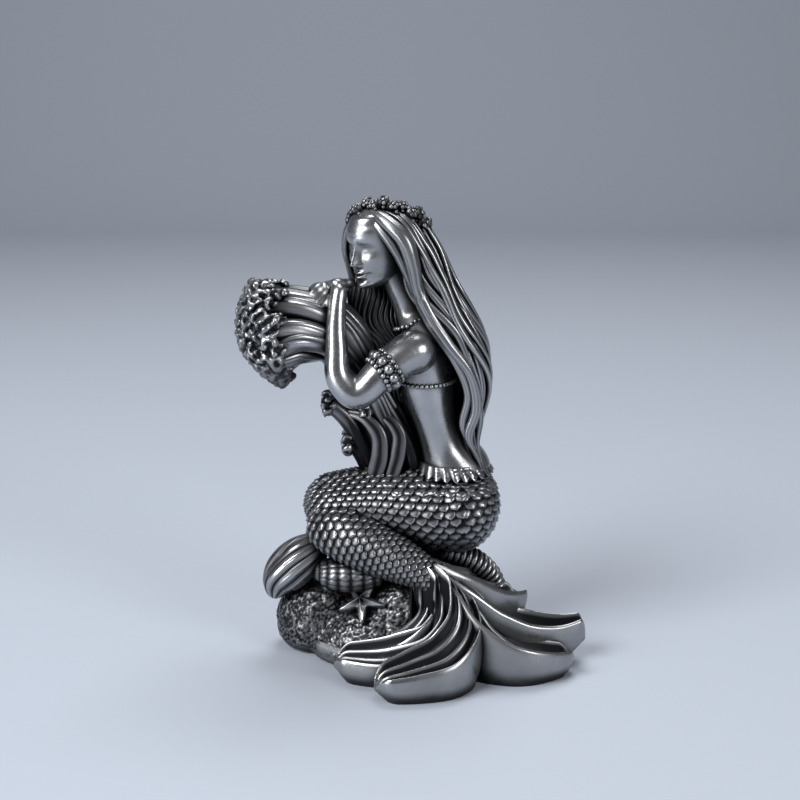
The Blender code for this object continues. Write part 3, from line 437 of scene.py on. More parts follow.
def smooth_curve(points, count):
    """count samples of a smooth curve through the points. Columns after x, y, z follow along."""
    values = np.array(points, float)
    knots = run_along(values)
    slopes = np.gradient(values, knots, axis=0)
    at = np.linspace(0.0, knots[-1], count)
    index = np.clip(np.searchsorted(knots, at, side="right") - 1, 0, len(knots) - 2)
    span = (knots[index + 1] - knots[index])[:, None]
    t = (at - knots[index])[:, None] / span
    return (
        (2 * t**3 - 3 * t**2 + 1) * values[index]
        + (t**3 - 2 * t**2 + t) * slopes[index] * span
        + (3 * t**2 - 2 * t**3) * values[index + 1]
        + (t**3 - t**2) * slopes[index + 1] * span
    )


def frames_along(centres, across):
    """For each point of a centre line, the side direction nearest to across, and the one square to it."""
    tangents = unit_rows(np.gradient(centres, axis=0))
    across = np.broadcast_to(np.asarray(across, float), centres.shape)
    side = unit_rows(across - (across * tangents).sum(1)[:, None] * tangents)
    return side, np.cross(tangents, side)


def swept_rings(centres, across, up, angles, wide, high):
    """Rings round a centre line, which reach wide along across and high along up."""
    size = (len(centres), len(angles))
    first = np.broadcast_to(wide, size) * np.cos(angles)
    second = np.broadcast_to(high, size) * np.sin(angles)
    return centres[:, None] + first[:, :, None] * across[:, None] + second[:, :, None] * up[:, None]


def circle(count):
    return np.linspace(0, 2 * pi, count, endpoint=False)


def grid_quads(rows, cols, closed):
    """Quads between neighbouring rows of points. closed joins each row's ends."""
    i = np.arange(rows - 1)[:, None]
    j = np.arange(cols if closed else cols - 1)[None, :]
    k = (j + 1) % cols
    quads = np.stack([i * cols + j, i * cols + k, (i + 1) * cols + k, (i + 1) * cols + j], axis=-1)
    return quads.reshape(-1, 4).tolist()


class Shape:
    """Points, faces and darkening gathered from several closed forms, in millimetres: patina in recesses,
    and painted shade on some parts.
    """

    def __init__(self):
        self.points, self.faces, self.tarnish, self.count = [], [], [], 0

    def add(self, points, faces, tarnish=0.0):
        points = np.asarray(points, float)
        self.points.append(points)
        offset = self.count
        self.faces += [[v + offset for v in face] for face in faces]
        self.tarnish.append(np.broadcast_to(np.asarray(tarnish, float), len(points)))
        self.count += len(points)

    def add_rings(self, rings, tarnish=0.0):
        """Skins rings with the same number of points and closes both ends."""
        rings = np.asarray(rings)
        rows, cols = rings.shape[:2]
        faces = grid_quads(rows, cols, True)
        faces.append(list(range(cols))[::-1])
        faces.append([(rows - 1) * cols + j for j in range(cols)])
        if np.ndim(tarnish) == 2:
            tarnish = np.asarray(tarnish).reshape(-1)
        self.add(rings.reshape(-1, 3), faces, tarnish)

    def mesh(self, name):
        mesh = bpy.data.meshes.new(name)
        points = (np.concatenate(self.points) + SHIFT) * MM
        mesh.from_pydata(points.tolist(), [], self.faces)
        # The darkening is patina in recesses, and painted shade on the scales, the front hair, the
        # tucked-under fan walls and the coral below the forearm.
        tarnish = mesh.attributes.new("tarnish", "FLOAT", "POINT")
        tarnish.data.foreach_set("value", np.concatenate(self.tarnish).astype(np.float32))
        return mesh

    def piece(self, name):
        """Makes the scene object, riding on the figurine's body."""
        mesh = self.mesh(name)
        mesh.polygons.foreach_set("use_smooth", np.ones(len(mesh.polygons), bool))
        mesh.materials.append(SILVER)
        obj = bpy.data.objects.new(name, mesh)
        bpy.context.scene.collection.objects.link(obj)
        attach(obj, "root")
        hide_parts("mermaid_figurine")


def ball_template(fineness):
    ball = bmesh.new()
    bmesh.ops.create_icosphere(ball, subdivisions=fineness, radius=1.0)
    points = np.array([v.co for v in ball.verts])
    faces = [[v.index for v in face.verts] for face in ball.faces]
    ball.free()
    return points, faces


BALLS = {level: ball_template(level) for level in (1, 2, 3, 4)}


def add_ball(shape, centre, radii, axes=None, level=3, tarnish=0.0):
    points, faces = BALLS[level]
    turn = np.eye(3) if axes is None else np.array(axes)
    shape.add(np.array(centre, float) + (points * radii) @ turn, faces, tarnish)


def limb_rings(points, across, sides, steps):
    """Sections of a limb with domed ends. Its points end in the half depth and the half width."""
    path = smooth_curve(points, steps)
    run = run_along(path)
    to_end = np.minimum(run / path[0, 3], (run[-1] - run) / path[-1, 3])
    swell = np.sqrt(np.clip(1 - (1 - np.clip(to_end, 0.01, 1)) ** 2, 0, 1))[:, None]
    side, normal = frames_along(path[:, :3], across)
    return swept_rings(path[:, :3], normal, side, circle(sides), path[:, 3:4] * swell, path[:, 4:5] * swell)


def add_limb(shape, points, across, sides=32, steps=60, tarnish=0.0):
    shape.add_rings(limb_rings(points, across, sides, steps), tarnish)


def round_limb(points):
    """The same radius in both directions."""
    return [(*p[:3], p[3], p[3]) for p in points]


def fused(name, shape, voxel, soften):
    """Fuses overlapping forms to one skin. Returns its points and normals in millimetres, and its faces."""
    mesh = shape.mesh(name)
    obj = bpy.data.objects.new(name, mesh)
    bpy.context.scene.collection.objects.link(obj)
    remesh = obj.modifiers.new("fuse", "REMESH")
    remesh.mode = "VOXEL"
    remesh.voxel_size = voxel * 1.0 * MM
    smooth = obj.modifiers.new("soften", "SMOOTH")
    smooth.factor = 0.5
    smooth.iterations = soften
    graph = bpy.context.evaluated_depsgraph_get()
    result = bpy.data.meshes.new_from_object(obj.evaluated_get(graph))
    bpy.data.objects.remove(obj)
    bpy.data.meshes.remove(mesh)
    count = len(result.vertices)
    points = np.empty(count * 3)
    result.vertices.foreach_get("co", points)
    normals = np.empty(count * 3, np.float32)
    result.vertex_normals.foreach_get("vector", normals)
    faces = [list(p.vertices) for p in result.polygons]
    bpy.data.meshes.remove(result)
    return points.reshape(-1, 3) / MM - SHIFT, normals.reshape(-1, 3).astype(float), faces


def outward_groove(angles, count, depth):
    """Section factor of a strand with grooves along it, and how deep in a groove each place is."""
    wave = np.abs(np.sin(angles * count / 2)) ** 0.6
    return 1 - depth * (1 - wave), 1 - wave


# Material

def antique_silver():
    """Polished silver over a black patina that stays in the recesses, with painted shade carried on the mesh
    and painted from ambient occlusion in broad hollows.
    """
    material = bpy.data.materials.new("antique_silver")
    material.use_nodes = True
    nodes, links = material.node_tree.nodes, material.node_tree.links
    shader = nodes["Principled BSDF"]

    def node(kind, **settings):
        made = nodes.new(kind)
        for key, value in settings.items():
            setattr(made, key, value)
        return made

    def math(operation, first, second, clamp=False):
        made = node("ShaderNodeMath", operation=operation, use_clamp=clamp)
        for socket, value in zip(made.inputs, (first, second)):
            if isinstance(value, (int, float)):
                socket.default_value = value
            else:
                links.new(value, socket)
        return made.outputs[0]

    coords = node("ShaderNodeTexCoord").outputs["Object"]

    def noise(scale, detail, roughness=0.5):
        made = node("ShaderNodeTexNoise")
        made.inputs["Scale"].default_value = scale
        made.inputs["Detail"].default_value = detail
        made.inputs["Roughness"].default_value = roughness
        links.new(coords, made.inputs["Vector"])
        return made.outputs["Fac"]

    def remap(value, low, high, to_low, to_high):
        made = node("ShaderNodeMapRange")
        for name, number in (("From Min", low), ("From Max", high), ("To Min", to_low), ("To Max", to_high)):
            made.inputs[name].default_value = number
        links.new(value, made.inputs["Value"])
        return made.outputs["Result"]

    # Darkening stored on the mesh: patina, and painted shade on some parts.
    relief = node("ShaderNodeAttribute", attribute_name="tarnish").outputs["Fac"]
    # Ambient occlusion darkens the colour: patina in fine recesses, and painted shade in broad hollows such
    # as under the arms and beside the hair.
    hollow = node("ShaderNodeAmbientOcclusion", samples=8, only_local=False)
    hollow.inputs["Distance"].default_value = 5.5 * MM
    occlusion_shade_and_patina = remap(hollow.outputs["AO"], 0.35, 0.97, 1.0, 0.0)
    mottle = noise(170.0, 5.0, 0.6)
    dark = math("MAXIMUM", relief, occlusion_shade_and_patina)
    dark = math("MULTIPLY", dark, remap(mottle, 0.3, 0.7, 0.94, 1.2), clamp=True)
    dark = math("ADD", dark, remap(noise(55.0, 3.0), 0.42, 0.75, 0.0, 0.22), clamp=True)

    colour = node("ShaderNodeMix", data_type="RGBA")
    colour.inputs["A"].default_value = (0.5, 0.51, 0.53, 1.0)
    colour.inputs["B"].default_value = (0.003, 0.0035, 0.006, 1.0)
    links.new(math("POWER", dark, 0.58), colour.inputs["Factor"])
    links.new(colour.outputs["Result"], shader.inputs["Base Color"])
    links.new(remap(dark, 0.0, 1.0, 1.0, 0.6), shader.inputs["Metallic"])
    rough = math("ADD", remap(dark, 0.0, 1.0, 0.23, 0.45), remap(mottle, 0.35, 0.7, -0.03, 0.07))
    links.new(rough, shader.inputs["Roughness"])

    bump = node("ShaderNodeBump")
    bump.inputs["Strength"].default_value = 0.35
    bump.inputs["Distance"].default_value = 0.05 * MM
    grain = math("ADD", noise(900.0, 4.0, 0.6), math("MULTIPLY", noise(260.0, 3.0), 1.6))
    links.new(grain, bump.inputs["Height"])
    links.new(bump.outputs["Normal"], shader.inputs["Normal"])
    return material


SILVER = antique_silver()


# The mermaid

def torso_axes():
    turn = radians(TORSO_TURN)
    chest = np.array([-cos(turn), sin(turn), 0.0])
    return chest, np.array([-chest[1], chest[0], 0.0])


def torso_at(height):
    samples = smooth_curve(TORSO, 200)
    found = samples[np.argmin(abs(samples[:, 2] - height))]
    return found[:3], found[3], found[4]


def face_axes():
    turn, bow = radians(HEAD_TURN), radians(HEAD_BOW)
    forward = np.array([-cos(turn) * cos(bow), -sin(turn) * cos(bow), -sin(bow)])
    left = unit(np.cross((0.0, 0.0, 1.0), forward))
    return left, forward, np.cross(forward, left)


def on_face(left, forward, up):
    axes = face_axes()
    left, forward, up = (np.asarray(v, float)[..., None] for v in (left, forward, up))
    return np.array(HEAD_CENTRE) + left * axes[0] + forward * axes[1] + up * axes[2]


def finger_paths(hand):
    """The fingers and the thumb of a hand, arched over what it holds, each point with its radius."""
    palm, run, spread = np.array(hand[0]), np.array(hand[1]), unit(hand[2])
    arch = unit(np.cross(run, spread)) * FINGER_ARCH
    if arch[2] < 0:
        arch = -arch
    fingers = []
    for i, length in enumerate(FINGER_LENGTHS):
        root = palm + spread * FINGER_PITCH * (i - (len(FINGER_LENGTHS) - 1) / 2)
        bend = root + run * length * 0.4 + arch
        ends = [root, bend, root + run * length * 0.75 + arch * 0.6, root + run * length]
        fingers.append([(*p, FINGER_RADIUS * size) for p, size in zip(ends, (1.0, 0.9, 0.82, 0.7))])
    thumb = palm - spread * 2.0
    ends = [thumb, thumb - spread * 1.2 + run * 0.25, thumb - spread * 1.4 + run * 0.55]
    fingers.append([(*p, FINGER_RADIUS * size) for p, size in zip(ends, (1.1, 1.0, 0.8))])
    return fingers


def build_skin():
    """Torso, arms and hands as one skin."""
    clay = Shape()
    chest, left = torso_axes()
    add_limb(clay, TORSO, -left, steps=90, sides=48)
    add_limb(clay, YOKE, chest, steps=70, sides=48)
    centre, depth, width = torso_at(STRAP_HEIGHT + 3.0)
    for side in (-1, 1):
        add_ball(clay, centre + chest * depth * 0.72 + left * side * width * 0.42, BREAST_RADIUS)
    for arm, hand in ((NEAR_ARM, NEAR_HAND), (FAR_ARM, FAR_HAND)):
        add_limb(clay, round_limb(arm), (0.2, 1.0, 0.1), steps=90, sides=32)
        run, spread = unit(hand[1]), unit(hand[2])
        thick = unit(np.cross(run, spread))
        flat = np.array([PALM_RADIUS * 1.25, PALM_RADIUS, PALM_RADIUS * 0.6])
        add_ball(clay, hand[0], flat, (run, np.cross(thick, run), thick))
        for finger in finger_paths(hand):
            add_limb(clay, round_limb(finger), hand[2], steps=24, sides=16)
    points, normals, faces = fused("skin", clay, voxel=0.42, soften=4)
    middle = np.array(SPINE_CENTRE)
    along = (points - middle) @ chest
    tuck = SKIN_TUCK * smoothstep(FRILL_MIDDLE - 0.5, FRILL_MIDDLE - 2.5, points[:, 2])
    points = points - normals * tuck[:, None]
    spine = np.exp(-((points - middle) @ left / 1.2) ** 2) * (along < -3) * (points[:, 2] > 50)
    points = points - normals * (SPINE_DEPTH * spine * (points[:, 2] < 92))[:, None]
    skin = Shape()
    skin.add(points, faces)
    skin.piece("skin")


def face_relief(side, up):
    """How far the face stands out of the plain head, in millimetres."""
    def mound(at_side, at_up, wide, high, stand):
        return stand * np.exp(-((side - at_side) / wide) ** 2 - ((up - at_up) / high) ** 2)

    def crease(at_side, at_up, bend, thick, deep, wide):
        line = up - at_up + bend * (side - at_side) ** 2
        return -deep * np.exp(-((line / thick) ** 2) - (np.abs(side - at_side) / wide) ** 4)

    total = sum(mound(*row) for row in MIDDLE_MOUNDS) + crease(*MOUTH_CREASE)
    for mirror in (-1, 1):
        total += sum(mound(mirror * row[0], *row[1:]) for row in PAIRED_MOUNDS)
        total += sum(crease(mirror * row[0], *row[1:]) for row in EYE_CREASES)
    bow = LIP_BOW * np.cos(np.clip(side, -1, 1) * pi * 1.3)
    return total + mound(0.0, UPPER_LIP[1] - bow, *UPPER_LIP[2:])


def build_head():
    """The head as a stack of sections, with the features raised from its front."""
    rows, cols = ((150, 190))
    order = [(row[1], row[2], row[3], row[0]) for row in HEAD_SECTIONS]
    sections = smooth_curve(order, rows)
    even = circle(cols)
    angles = even - 0.55 * np.sin(even)
    half, front, back, up = (sections[:, k][:, None] for k in range(4))
    side = half * np.sin(angles)[None, :]
    ahead = np.cos(angles)[None, :]
    reach = np.where(ahead > 0, front, back) * ahead
    relief = face_relief(side, np.broadcast_to(up, side.shape))
    reach = reach + np.clip(2 * ahead, 0, 1) * relief * FACE_RELIEF
    rings = on_face(side, reach, np.broadcast_to(up, side.shape))
    groove = np.clip(2 * ahead, 0, 1) * np.clip(-relief * 0.55, 0, 0.6)
    head = Shape()
    head.add_rings(rings, groove)
    head.piece("head")


def add_lock(shape, path, radii, out, flat=0.62, grooves=6, sides=15, depth=0.22, tone=0.0):
    """A strand of hair along a path: oval section, wide across the surface, with grooves along it."""
    tangents = unit_rows(np.gradient(path, axis=0))
    normal = unit_rows(out - (out * tangents).sum(1)[:, None] * tangents)
    side = np.cross(tangents, normal)
    angles = circle(sides)
    factor, deep = outward_groove(angles + 0.3, grooves, depth)
    radius = radii[:, None] * factor
    rings = swept_rings(path, side, normal, angles, radius, radius * flat)
    shape.add_rings(rings, np.broadcast_to(tone + deep * 0.9, radius.shape))


def hair_sheet(rows):
    """The sheet the hair hangs along, the directions out of it and across it, and its width."""
    down = np.array([smooth_curve(guide, rows) for guide in HAIR_GUIDES])
    sheet = np.array([smooth_curve(down[:, j], HAIR_COLUMNS + 1) for j in range(rows)]).transpose(1, 0, 2)
    share = np.linspace(0, 1, HAIR_COLUMNS + 1)
    for j, trim in enumerate(HAIR_TRIM * smoothstep(0.35, 0.7, np.linspace(0, 1, rows))):
        kept = trim + (1 - trim) * share
        sheet[:, j] = np.column_stack([np.interp(kept, share, sheet[:, j, k]) for k in range(3)])
    du, dv = np.gradient(sheet, axis=0), np.gradient(sheet, axis=1)
    width = np.linalg.norm(du, axis=2) * HAIR_COLUMNS
    return sheet, unit_rows(np.cross(dv, du)), unit_rows(du), width


def add_hanging_hair(body, strands, q):
    """The hair down her back: a dark body, waved locks side by side, and loose locks over them."""
    sheet, out, across, width = hair_sheet(len(q))
    inner = sheet - out * HAIR_DEPTH
    outer = sheet - out * HAIR_SINK
    body.add_rings([np.concatenate([outer[:, j], inner[::-1, j]]) for j in range(len(q))], 1.0)

    def add_strand(p, swing, phase, lift, radii, flat):
        """A lock down the hair at the share p of its width, swung sideways and lifted outward."""
        column = np.clip(p, 0, 1) * HAIR_COLUMNS
        low = min(int(column), HAIR_COLUMNS - 1)
        t = column - low
        place, normal, side = (grid[low] * (1 - t) + grid[low + 1] * t for grid in (sheet, out, across))
        normal = unit_rows(normal)
        wave = LOCK_WAVE * swing * np.sin(2 * pi * (LOCK_WAVES * q + phase))
        path = place + side * wave[:, None] + normal * lift[:, None]
        add_lock(strands, path, radii, normal, flat=flat, grooves=3, depth=0.14)

    taper = np.interp(q, (0, 0.06, 0.2, 0.85, 0.95, 1), (0.5, 0.8, 1.0, 0.95, 0.7, 0.15))
    grow = np.interp(q, (0, 0.35, 1), (0.1, 0.7, 1.0))
    for i in range(LOCKS):
        p = (i + 0.5) / LOCKS
        phase = PHASE_ACROSS * p + 0.05 * DICE.standard_normal()
        lift = 0.35 * np.sin(2 * pi * (1.6 * q + DICE.random())) * np.clip(4 * q, 0, 1)
        size = (0.42 + 0.26 * DICE.random()) / LOCKS
        radii = np.clip(width[int(p * HAIR_COLUMNS)] * size, 0.5, 1.8) * taper
        add_strand(p, grow, phase, lift, radii, 1.1)
    for i in range(LOOSE_LOCKS):
        p = (i + 0.2 + 0.6 * DICE.random()) / LOOSE_LOCKS
        phase = PHASE_ACROSS * p + 0.2 * DICE.random()
        lift = 0.7 + 0.4 * np.sin(2 * pi * (1.3 * q + DICE.random()))
        radii = (0.75 + 0.5 * DICE.random()) * taper * np.interp(q, (0, 0.25), (0.6, 1.0))
        add_strand(p, 1.1 * grow, phase, lift, radii, 0.9)


def add_face_locks(strands, q):
    for guide in FACE_LOCKS:
        line = smooth_curve(guide, len(q))
        below = line[:, :3] * [0, 0, 1] + [6.0, 3.0, 0]
        away = unit_rows(line[:, :3] - np.where(line[:, 2:3] > 100, HEAD_CENTRE, below))
        radii = line[:, 3] * np.minimum(1, 8 * (1 - q) + 0.1)
        add_lock(strands, line[:, :3], radii, away, flat=0.85, grooves=9, sides=27, depth=0.13)


def add_front_hair(body, strands, q):
    """The hair that falls over her chest: a dark core with locks round it, the locks half darkened as
    painted shade where this hair hangs behind the forearm.
    """
    path = smooth_curve(FRONT_HAIR, len(q))
    side, normal = frames_along(path[:, :3], (0.0, 1.0, 0.0))
    core = [(*p[:3], p[3] * FRONT_CORE, p[4] * FRONT_CORE) for p in FRONT_HAIR]
    body.add_rings(limb_rings(core, (0.0, 1.0, 0.0), 32, len(q)), 1.0)
    radii = FRONT_LOCK_RADIUS * np.interp(q, (0, 0.2, 0.85, 1), (0.5, 0.9, 0.9, 0.3))
    for i in range(FRONT_LOCKS):
        share = (i + 0.5) / FRONT_LOCKS
        angle = -pi * share + 0.26 * np.sin(2 * pi * (2.8 * q + 0.4 * share))
        offset = (path[:, 3] * np.cos(angle))[:, None] * normal
        offset = offset + (path[:, 4] * np.sin(angle))[:, None] * side
        thickness = radii * (0.55 + 0.3 * DICE.random())
        # tone 0.5 is painted shade behind the forearm, over patina in the grooves.
        add_lock(strands, path[:, :3] + offset, thickness, unit_rows(offset), depth=0.3, tone=0.5)


def build_hair():
    body, strands = Shape(), Shape()
    q = np.linspace(0, 1, 84)
    add_hanging_hair(body, strands, q)
    add_face_locks(strands, q)
    add_front_hair(body, strands, q)
    body.piece("hair_body")
    strands.piece("hair_locks")


def build_wreath():
    """A band of small flowers and berries round the head, worn high on her left."""
    rise, tilt = radians(WREATH_RISE), radians(WREATH_TILT)
    across = np.array([cos(tilt), 0.0, -sin(tilt)])
    near = np.array([0.0, -cos(rise), sin(rise)])
    axis = unit(np.cross(across, near))
    centre = np.array(WREATH_CENTRE)
    wreath = Shape()
    for i in range(WREATH_BEADS):
        angle = 2 * pi * i / WREATH_BEADS
        radial = WREATH_RADII[0] * cos(angle) * across + WREATH_RADII[1] * sin(angle) * near
        outward = unit(radial)
        side = np.cross(outward, axis)
        bulk = 1 + WREATH_BULK * np.exp(-((angle - WREATH_BULK_ANGLE) ** 2) / 0.3)
        size = WREATH_RADIUS * bulk * (0.9 + 0.2 * DICE.random())
        place = centre + radial + axis * 0.5 * bulk * (-1) ** i
        add_ball(wreath, place, size * 0.8, level=2, tarnish=1.0)
        turn = DICE.random() * pi
        for k in range(FLOWER_PETALS):
            a = turn + 2 * pi * k / FLOWER_PETALS
            petal = place + outward * size * 0.4 + size * 0.62 * (cos(a) * side + sin(a) * axis)
            petal_size = size * (0.3 + 0.1 * DICE.random())
            add_ball(wreath, petal, petal_size, level=2, tarnish=0.25 + 0.6 * DICE.random())
        add_ball(wreath, place + outward * size * 0.6, size * 0.26, level=2)
        for row in (-1, 1):
            berry = place + axis * row * size * (0.95 + 0.2 * DICE.random()) + side * size * DICE.random()
            add_ball(wreath, berry, size * 0.3, level=2, tarnish=0.5)
    wreath.piece("wreath")


# The tail

def scale_template():
    """One scale: a shield in its own frame (across, along the flow, out), with a raised free edge."""
    rows, cols = 6, 7
    v = np.linspace(0, 1, rows)[:, None]
    u = np.linspace(-1, 1, cols)[None, :]
    half = 0.52 * np.sqrt(np.clip(1 - np.clip((v - 0.42) / 0.58, 0, 1) ** 2.4, 0.0, 1)) + 0.02
    across = u * half
    along = v * 1.42 - 0.5 + 0 * u
    out = 0.02 + 0.55 * v - 0.16 * u**2 - 0.08 * v**8
    top = np.stack([across, along, out + 0 * along], axis=-1)
    under = top.copy()
    under[:, :, 2] = -0.14
    ring = list(range(cols))
    ring += [r * cols + cols - 1 for r in range(1, rows)]
    ring += [(rows - 1) * cols + c for c in range(cols - 2, -1, -1)]
    ring += [r * cols for r in range(rows - 2, 0, -1)]
    count = rows * cols
    points = np.concatenate([top.reshape(-1, 3), under.reshape(-1, 3)[ring]])
    faces = [f[::-1] for f in grid_quads(rows, cols, False)]
    for k in range(len(ring)):
        n = (k + 1) % len(ring)
        faces.append([ring[k], ring[n], count + n, count + k])
    faces.append([count + k for k in range(len(ring))][::-1])
    # Darker towards the covered root and at the sides: painted shadow of the overlapping scales, over patina
    # in the crevice. The rim and underside are fully dark, painted shade under the free edge.
    tarnish = (np.clip(1.9 - 2.6 * v, 0, 1) + 0.3 * np.abs(u) ** 3 + 0 * v).reshape(-1)
    return points, faces, np.concatenate([np.clip(tarnish, 0, 1), np.ones(len(ring))])


SCALE = scale_template()


def outer_hit(tree, centre, direction, reach=30.0):
    """Where a ray from outside, aimed at the centre along the direction, meets the skin."""
    start = np.array(centre) + direction * reach
    place, normal = tree.ray_cast(Vector(start), Vector(-direction), reach)[:2]
    return None if place is None else (np.array(place), np.array(normal))


def covered(tree, place, normal):
    """Whether the other half of the tail, whose skin is given, hides this place."""
    slant = Vector((0.12, 0.3, 1.0))
    start = Vector(place + normal * 0.5)
    hits = 0
    while hits < 6:
        found = tree.ray_cast(start, slant)[0]
        if found is None:
            break
        hits += 1
        start = found + slant * 1e-3
    return hits % 2 == 1


def add_scale(shape, place, normal, flow, width, pitch):
    points, faces, tarnish = SCALE
    flow = unit(flow - normal * np.dot(flow, normal))
    side = np.cross(flow, normal)
    local = points * (width, pitch * 1.15, pitch)
    shape.add(place + local[:, :1] * side + local[:, 1:2] * flow + local[:, 2:] * normal, faces, tarnish)


def add_thigh_scale(shape, skins, centre, horizontal, polar, size):
    """A scale of a row at the given angle down from the top, where the horizontal direction leads out."""
    direction = unit(horizontal * sin(polar) + UP * cos(polar))
    hit = outer_hit(skins[0], centre, direction)
    if hit is None or covered(skins[1], *hit):
        return
    flow = np.array([direction[0] * cos(polar), direction[1] * cos(polar), -sin(polar)])
    lean = unit(np.cross(hit[1], flow)) * 0.35
    add_scale(shape, *hit, flow + lean, SCALE_WIDTH * size * SCALE_OVERLAP, SCALE_PITCH * size)


def add_thigh_scales(scales, skins):
    """Rows of scales round the hips and along the thigh to the knee."""
    path = np.concatenate([[HIPS_CENTRE], smooth_curve(THIGH[1:], 120)[:, :3]])
    run = run_along(path)
    length = run[-1] - 6.0
    knee_axis = unit(path[-1] - path[-8]) * [1, 1, 0]
    hips_axis = unit((path[8] - path[0]) * [1, 1, 0])
    ends = (
        (-hips_axis, path[0], HIPS_ROUND, 1.0),
        (knee_axis, path[-1] - knee_axis * 6.0, KNEE_ROUND, KNEE_SIZE),
    )
    rows = int(HIPS_ROUND * pi / SCALE_PITCH) + 1
    for row in range(1, rows):
        polar = row / rows * pi
        for side in (1, -1):
            s = 0.0
            while s < length:
                centre = point_at(run, path, s)
                outward = unit(np.cross(UP, unit(point_at(run, path, s + 1) - centre))) * side
                size = np.interp(s, (0, length * 0.55, length), (1.0, 0.94, KNEE_SIZE))
                drift = 0.5 * SCALE_WIDTH * size * (row % 2) * unit(np.cross(outward, UP))
                add_thigh_scale(scales, skins, centre + drift, outward, polar, size)
                s += SCALE_WIDTH * size
        for axis, origin, cap_radius, size in ends:
            count = max(1, int(pi * cap_radius * max(sin(polar), 0.15) / (SCALE_WIDTH * size)))
            for k in range(count):
                azimuth = -pi / 2 + pi * (k + 0.5 * (row % 2) + 0.25) / count
                horizontal = axis * cos(azimuth) + np.cross(UP, axis) * sin(azimuth)
                add_thigh_scale(scales, skins, origin, horizontal, polar, size)


def add_waist_scales(scales, skin):
    for row in range(WAIST_ROWS):
        centre = np.array([14.7, 3.0, FRILL_MIDDLE - 1.6 - 1.8 * row])
        for k in range(WAIST_SCALES):
            a = 2 * pi * (k + 0.5 * (row % 2)) / WAIST_SCALES
            hit = outer_hit(skin, centre, np.array([cos(a), sin(a), 0.0]))
            if hit:
                add_scale(scales, *hit, -UP, SCALE_WIDTH * SCALE_OVERLAP, SCALE_PITCH)


def add_shin_scales(scales, skins):
    """Rings of scales down the shin to the root of the fluke."""
    shin = smooth_curve(SHIN, 160)
    run = run_along(shin)
    s, row = 0.6, 0
    while s < run[-1] - 1.5:
        centre = point_at(run, shin, s)
        tangent = unit(point_at(run, shin, min(s + 1, run[-1])) - point_at(run, shin, max(s - 1, 0)))
        size = np.interp(s, (0, 8, run[-1]), (0.74, 0.86, 0.62))
        side = unit(np.cross(tangent, UP))
        up = np.cross(side, tangent)
        count = max(6, int(2 * pi * np.interp(s, run, shin[:, 3]) / (SCALE_WIDTH * size)))
        for k in range(count):
            a = 2 * pi * (k + 0.5 * (row % 2)) / count
            hit = outer_hit(skins[1], centre, unit(cos(a) * side + sin(a) * up))
            if hit and not covered(skins[0], *hit):
                add_scale(scales, *hit, tangent, SCALE_WIDTH * size * 1.06, SCALE_PITCH * size * 1.1)
        s += SCALE_PITCH * size
        row += 1


def build_tail():
    """Hips, thigh and shin under rows of overlapping scales."""
    upper, lower = Shape(), Shape()
    add_ball(upper, HIPS_CENTRE, HIPS_RADII, level=4)
    add_limb(upper, WAIST, (-0.1, 1.0, 0.0), sides=48)
    add_limb(upper, THIGH, (-0.1, 1.0, 0.0), sides=48, steps=80)
    add_limb(lower, SHIN, (0.4, 1.0, 0.3), sides=48, steps=60)
    skins = []
    tail = Shape()
    for clay in (upper, lower):
        points, _, faces = fused("tail", clay, voxel=0.8, soften=4)
        skins.append(BVHTree.FromPolygons(points.tolist(), faces))
        tail.add(points, faces, 1.0)
    tail.piece("tail_skin")
    scales = Shape()
    add_thigh_scales(scales, skins)
    add_waist_scales(scales, skins[0])
    add_shin_scales(scales, skins)
    scales.piece("tail_scales")


def build_frill():
    """The wavy frill where the tail begins."""
    frill = Shape()
    chest, left = torso_axes()
    rows, cols = 14, 288
    angles = circle(cols)
    wave = np.cos(angles * FRILL_WAVES + 0.5 * np.sin(angles * 3))
    fold = (1 + wave) / 2
    rings, tone = [], []
    for v in np.linspace(0, 1, rows):
        height = FRILL_MIDDLE + FRILL_HEIGHT * (0.4 - 1.3 * v)
        centre, depth, width = torso_at(height)
        flare = 0.2 + 0.25 * v + FRILL_DEPTH * fold * (0.3 + 0.7 * v)
        flat = np.outer((depth + flare) * np.cos(angles), chest)
        ring = centre * [1, 1, 0] + flat + np.outer((width + flare) * np.sin(angles), left)
        ring[:, 2] += height - 0.45 * wave * smoothstep(0.5, 1.0, v)
        rings.append(ring)
        tone.append(np.clip(0.9 - fold * 1.3, 0, 1) * (0.4 + 0.6 * v))
    middle = rings[-1].mean(axis=0)
    rings.append((rings[-1] - middle) * [0.93, 0.93, 1] + middle)
    tone.append(np.ones(cols))
    frill.add_rings(rings, np.array(tone))
    frill.piece("waist_frill")


# The fluke

